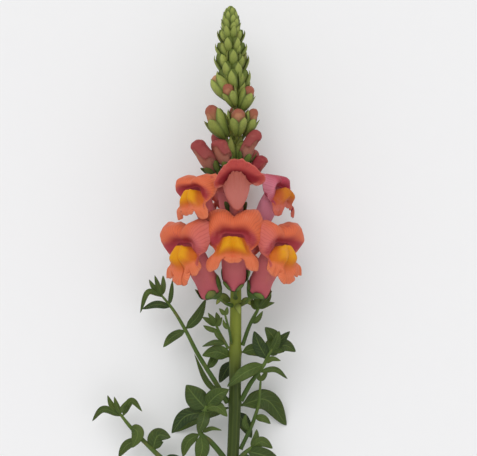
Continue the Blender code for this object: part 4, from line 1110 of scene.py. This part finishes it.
def green_bud(name, foot, points, radii, pink, seed):
    """A young bud wrapped in long sepals, with a little petal at its point."""
    rng = random.Random(seed)
    line = bud_line(points, radii)
    surface = round_surface(line, away_from_stem(at(*points[2])))
    body = Shape()
    bud_body(body, lambda k, angle, grow: surface(k, angle, grow - 0.9), line, 0.5, seed, low=0.05)
    finish = FINISH["young_petal" if pink > 0.5 else "bud_tip"]
    body.piece("green_bud_petals_" + name, "bud_green", finish, "green_bud_" + name)
    green = Shape()
    start = at(*foot)
    middle = (start + line[0, :3]) / 2 - np.array([0, 0.8, 0])
    stalk(green, [start, middle, line[0, :3], line[4, :3]], [1.2, 0.9, 1.1, 1.5])
    for i in range(SEPALS):
        turn = 72 * i + 36 + rng.uniform(-6, 6)
        facing = abs((turn + 180) % 360 - 180) < 60
        height = 0.98 - (0.30 if facing else 0.10) * pink - rng.uniform(0, 0.05)
        flare = rng.uniform(0.2, 0.9) - 0.3 * (pink < 0.5)
        shell(green, surface, 0.02, height, turn, 50, 0.7, flare, rng.uniform(0, 0.8), point=1.2)
    green.piece("green_bud_sepals_" + name, "bud_green", FINISH["scale"], "green_bud_" + name)


def leaf(name, node, base, middle, tip, width, roll, seed, finish="leaf", slot="leaf_green"):
    """A lance-shaped blade with a sunk midrib, a wavy edge and a short leaf stalk."""
    rng = random.Random(seed)
    line = along([at(*base), at(*middle), at(*tip)], LEAF_ROWS + 1)
    length = np.linalg.norm(line[-1] - line[0])
    young = float(np.clip(1.5 - length / 13, 0, 0.85))
    xs = np.linspace(-1, 1, LEAF_COLUMNS)
    wave = rng.uniform(0, 2 * math.pi)
    twist = rng.uniform(-14, 14)
    rings = []
    # Each ring goes across the upper face and back across the lower one.
    for i in range(LEAF_ROWS):
        t = i / LEAF_ROWS
        tangent = unit(line[i + 1] - line[max(i - 1, 0)])
        side = unit(np.cross(tangent, UP))
        up = np.cross(side, tangent)
        g = math.radians(roll + twist * t)
        s = side * math.cos(g) + up * math.sin(g)
        f = up * math.cos(g) - side * math.sin(g)
        blade = 1.12 * math.sin(math.pi * (0.04 + 0.96 * t) ** 0.86) ** 0.78
        half = 0.5 * width * max(blade * ease(t, -0.08, 0.2), 0.13 if t < 0.3 else 0.02)
        thick = 0.42 * (1 - 0.55 * t)
        fold = 0.20 * half
        edge = 0.10 * half * math.sin(9 * t + wave)
        ring = [(x, thick * (1 - 0.8 * abs(x))) for x in xs]
        ring += [(x, -thick * (0.7 - 0.5 * abs(x))) for x in xs[::-1]]
        rings.append([line[i] + s * half * x + f * (fold * abs(x) ** 1.4 + edge * x * abs(x) + lift)
                      for x, lift in ring])
    across = np.concatenate([xs, xs[::-1]])
    under = np.concatenate([np.zeros(LEAF_COLUMNS), np.ones(LEAF_COLUMNS)])
    shape = Shape()
    shape.add(rings, line[0], line[-1], along=np.linspace(0, 1, LEAF_ROWS)[:, None],
              across=across[None, :], under=under[None, :], tint=rng.uniform(0, 1), young=young)
    shape.piece(name, slot, FINISH[finish], node)


def main_stem():
    """The long stem: shallow ridges, swollen leaf joints and a flat cut end."""
    line = along(STEM_MM, STEM_ROWS)
    sides = travelling_sides(line[:, :3], np.array([0.0, 0.1, 1.0]))
    joints = [(MID_Y - y) * UNIT for y in STEM_NODES]
    turns = np.linspace(0, 2 * math.pi, STEM_COLUMNS, endpoint=False)
    # Three rings close the cut face before the stem itself starts.
    p, (_, u, v) = line[0], sides[0]
    rings = [[p[:3] + p[3] * scale * (u * math.cos(a) + v * math.sin(a)) for a in turns]
             for scale in (0.25, 0.55, 0.9)]
    for p, (_, u, v) in zip(line, sides):
        swell = sum(0.5 * math.exp(-((p[1] - y) / 2.2) ** 2) for y in joints)
        ring = []
        for a in turns:
            ridge = 0.10 * math.cos(4 * a) + 0.05 * math.cos(11 * a)
            radius = p[3] * (1 + 0.02 * ridge) + 0.4 * ridge + swell - 0.05
            ring.append(p[:3] + radius * (u * math.cos(a) + v * math.sin(a)))
        rings.append(ring)
    lengthwise = np.concatenate([[0, 0, 0], np.linspace(0, 1, STEM_ROWS)])[:, None]
    cut = np.concatenate([[1, 0.75, 1, 0.3], np.zeros(STEM_ROWS - 1)])[:, None]
    shape = Shape()
    shape.add(rings, line[0, :3], line[-1, :3], along=lengthwise, cut=cut,
              side=(np.arange(STEM_COLUMNS) / STEM_COLUMNS)[None, :])
    shape.piece("long_stem", "stem_green", FINISH["stem"], "main_stem")


def tip_axis_at(y_layout):
    """Axis point of the spike tip at a layout y."""
    axis = np.array(TIP_AXIS, float)[::-1]
    return at(*through(min(max(y_layout, axis[0, 1]), axis[-1, 1]), axis[:, 1], axis)[0])


def packed_bud(shape, places, radius, out, rng):
    """A small shut bud: a plump body wrapped in four sepals."""
    line = along([list(p) + [r * radius] for p, r in zip(places, PLUMP)], 24)
    surface = round_surface(line, out, 0.2)
    turns = np.linspace(0, 360, 20, endpoint=False)
    body = [[surface(k, a, -0.9) for a in turns] for k in np.linspace(0, 1, 12)]
    shape.add(body, line[0, :3], line[-1, :3], along=0.3, across=0.8, tint=1.0)
    tilt = rng.uniform(-12, 12)
    for turn, height in ((180, 0.94), (112, 0.97), (-112, 0.97), (0, 1.0)):
        shell(shape, surface, 0.0, height + rng.uniform(-0.06, 0.0), turn + tilt, 52, 0.6,
              rng.uniform(-0.2, 0.3), rng.uniform(0, 0.8), point=1.8, rows=10)


def spike_tip():
    """Buds packed round the axis, and a rounded end of small scales that overlap like shingles."""
    rng = random.Random(71)
    shape = Shape()
    for low, high, reach, radius, turns in PACKED_BUDS:
        for turn in turns:
            w = math.radians(turn + rng.uniform(-8, 8))
            out = RIGHT * math.sin(w) + UP * math.cos(w)
            places = [tip_axis_at(low + (high - low) * t) + out * reach * off
                      for t, off in ((0, 0.24), (0.3, 0.52), (0.6, 0.80), (0.85, 0.96), (1, 1.0))]
            packed_bud(shape, places, radius, out, rng)
    axis = [tip_axis_at(y) for y, _ in TIP_RADII]
    turns = np.linspace(0, 2 * math.pi, 24, endpoint=False)
    core = [[p + 0.86 * r * (RIGHT * math.sin(a) + UP * math.cos(a)) for a in turns]
            for p, (_, r) in zip(axis, TIP_RADII)]
    shape.add(core, axis[0], axis[-1], along=0.2, across=0.6, tint=1.0)
    ys, radii = zip(*TIP_RADII[::-1])

    def surface(k, angle, grow):
        y = SCALES_FOOT - (SCALES_FOOT - SCALES_END) * k
        r = max(float(through(max(y, ys[0]), ys, radii)[0]) + grow - 0.7, 0.3)
        w = math.radians(angle)
        return tip_axis_at(y) + r * (RIGHT * math.sin(w) + UP * math.cos(w))
    for row in range(SCALE_ROWS):
        k = 0.02 + 0.112 * row
        count = 5 if row < 6 else 4
        for i in range(count):
            turn = 360 / count * (i + 0.5 * (row % 2)) + rng.uniform(-8, 8) + 12
            shell(shape, surface, k, min(k + 0.33 - 0.014 * row, 1.0), turn, 150 / count,
                  1.1 - 0.06 * row, 1.4 - 0.12 * row, rng.uniform(0, 0.7), point=0.6, columns=11)
    shape.piece("spike_tip_scales", "bud_green", FINISH["scale"], "spike_tip")


def lay_table():
    """The pale floor, which is staged and no part of the stem."""
    bpy.ops.mesh.primitive_plane_add(size=6.0, location=(0, 0, -FLOOR_DEPTH))
    table = bpy.context.object
    table.name = "pale_table"
    table.data.materials.append(floor_material())


def soft_sun(name, direction, strength, spread):
    """A broad distant light; spread is its width in degrees."""
    data = bpy.data.lights.new(name, "SUN")
    data.energy = strength
    data.angle = math.radians(spread)
    lamp = bpy.data.objects.new(name, data)
    bpy.context.scene.collection.objects.link(lamp)
    lamp.rotation_euler = Vector(direction).to_track_quat("-Z", "Y").to_euler()


def studio():
    """Plain white surroundings, a broad key light from the spike's side and a weak fill."""
    scene = bpy.context.scene
    scene.world = bpy.data.worlds.new("studio")
    scene.world.use_nodes = True
    sky = scene.world.node_tree.nodes["Background"]
    sky.inputs["Color"].default_value = (1, 1, 1, 1)
    sky.inputs["Strength"].default_value = 0.70
    scene.view_settings.view_transform = "Standard"
    soft_sun("key", (0.25, -0.6, -0.9), 0.9, 40)
    soft_sun("fill", (-0.5, 0.3, -1.0), 0.25, 60)


def camera():
    """Looks straight down from far above, framed as the picture is."""
    lens, sensor, focus_height = 150.0, 36.0, 36.0
    distance = PICTURE_WIDTH * UNIT * lens / sensor
    centre = at(PICTURE_WIDTH / 2, PICTURE_HEIGHT / 2, focus_height)
    data = bpy.data.cameras.new("camera")
    data.lens = lens
    data.sensor_width = sensor
    data.clip_end = 20
    obj = bpy.data.objects.new("camera", data)
    bpy.context.scene.collection.objects.link(obj)
    obj.location = tuple((centre + UP * distance) * 0.001)
    bpy.context.scene.camera = obj


def flower(i, name, y_layout, turn, lean, swing, size, stalk_more, lips, ruffle, colouring,
           shape_of):
    """Petals and calyx of one flower; one that rests on the table is sized to touch it."""
    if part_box("petals_" + name)[0][2] < TOUCHES_FLOOR:
        size = floor_size(y_layout, turn, size, lips)
    place = flower_place(y_layout, turn, lean, swing, size, stalk_more)
    petals(name, lips, place, ruffle, colouring, shape_of, 11 + i)
    calyx(name, y_layout, place, size, 40 + i)


def shoot(i, name, points, leaves):
    """A side shoot: its thin stem, then its small leaves."""
    twig = Shape()
    stalk(twig, [at(*p[:3]) for p in points], [p[3] for p in points], 0.5, 14, 12 * len(points))
    twig.piece("twig_" + name, "leaf_green", FINISH["sepal"], "shoot_" + name)
    for j, blade in enumerate(leaves):
        leaf("twig_%s_leaf_%d" % (name, j + 1), "shoot_" + name, *blade, 200 + 20 * i + j)


def main():
    lay_table()
    studio()
    camera()
    main_stem()
    for i, bract in enumerate(BRACTS):
        leaf("bract_%d" % (i + 1), "main_stem", *bract, 0, 300 + i,
             finish="scale", slot="stem_green")
    spike_tip()
    for i, row in enumerate(FLOWERS):
        flower(i, *row)
    for i, row in enumerate(PINK_BUDS):
        pink_bud(*row, 60 + i)
    for i, row in enumerate(GREEN_BUDS):
        green_bud(*row, 80 + i)
    for i, (name, *blade) in enumerate(LEAVES):
        leaf("blade_" + name, "leaf_" + name, *blade, 100 + i)
    for i, row in enumerate(SHOOTS):
        shoot(i, *row)


main()
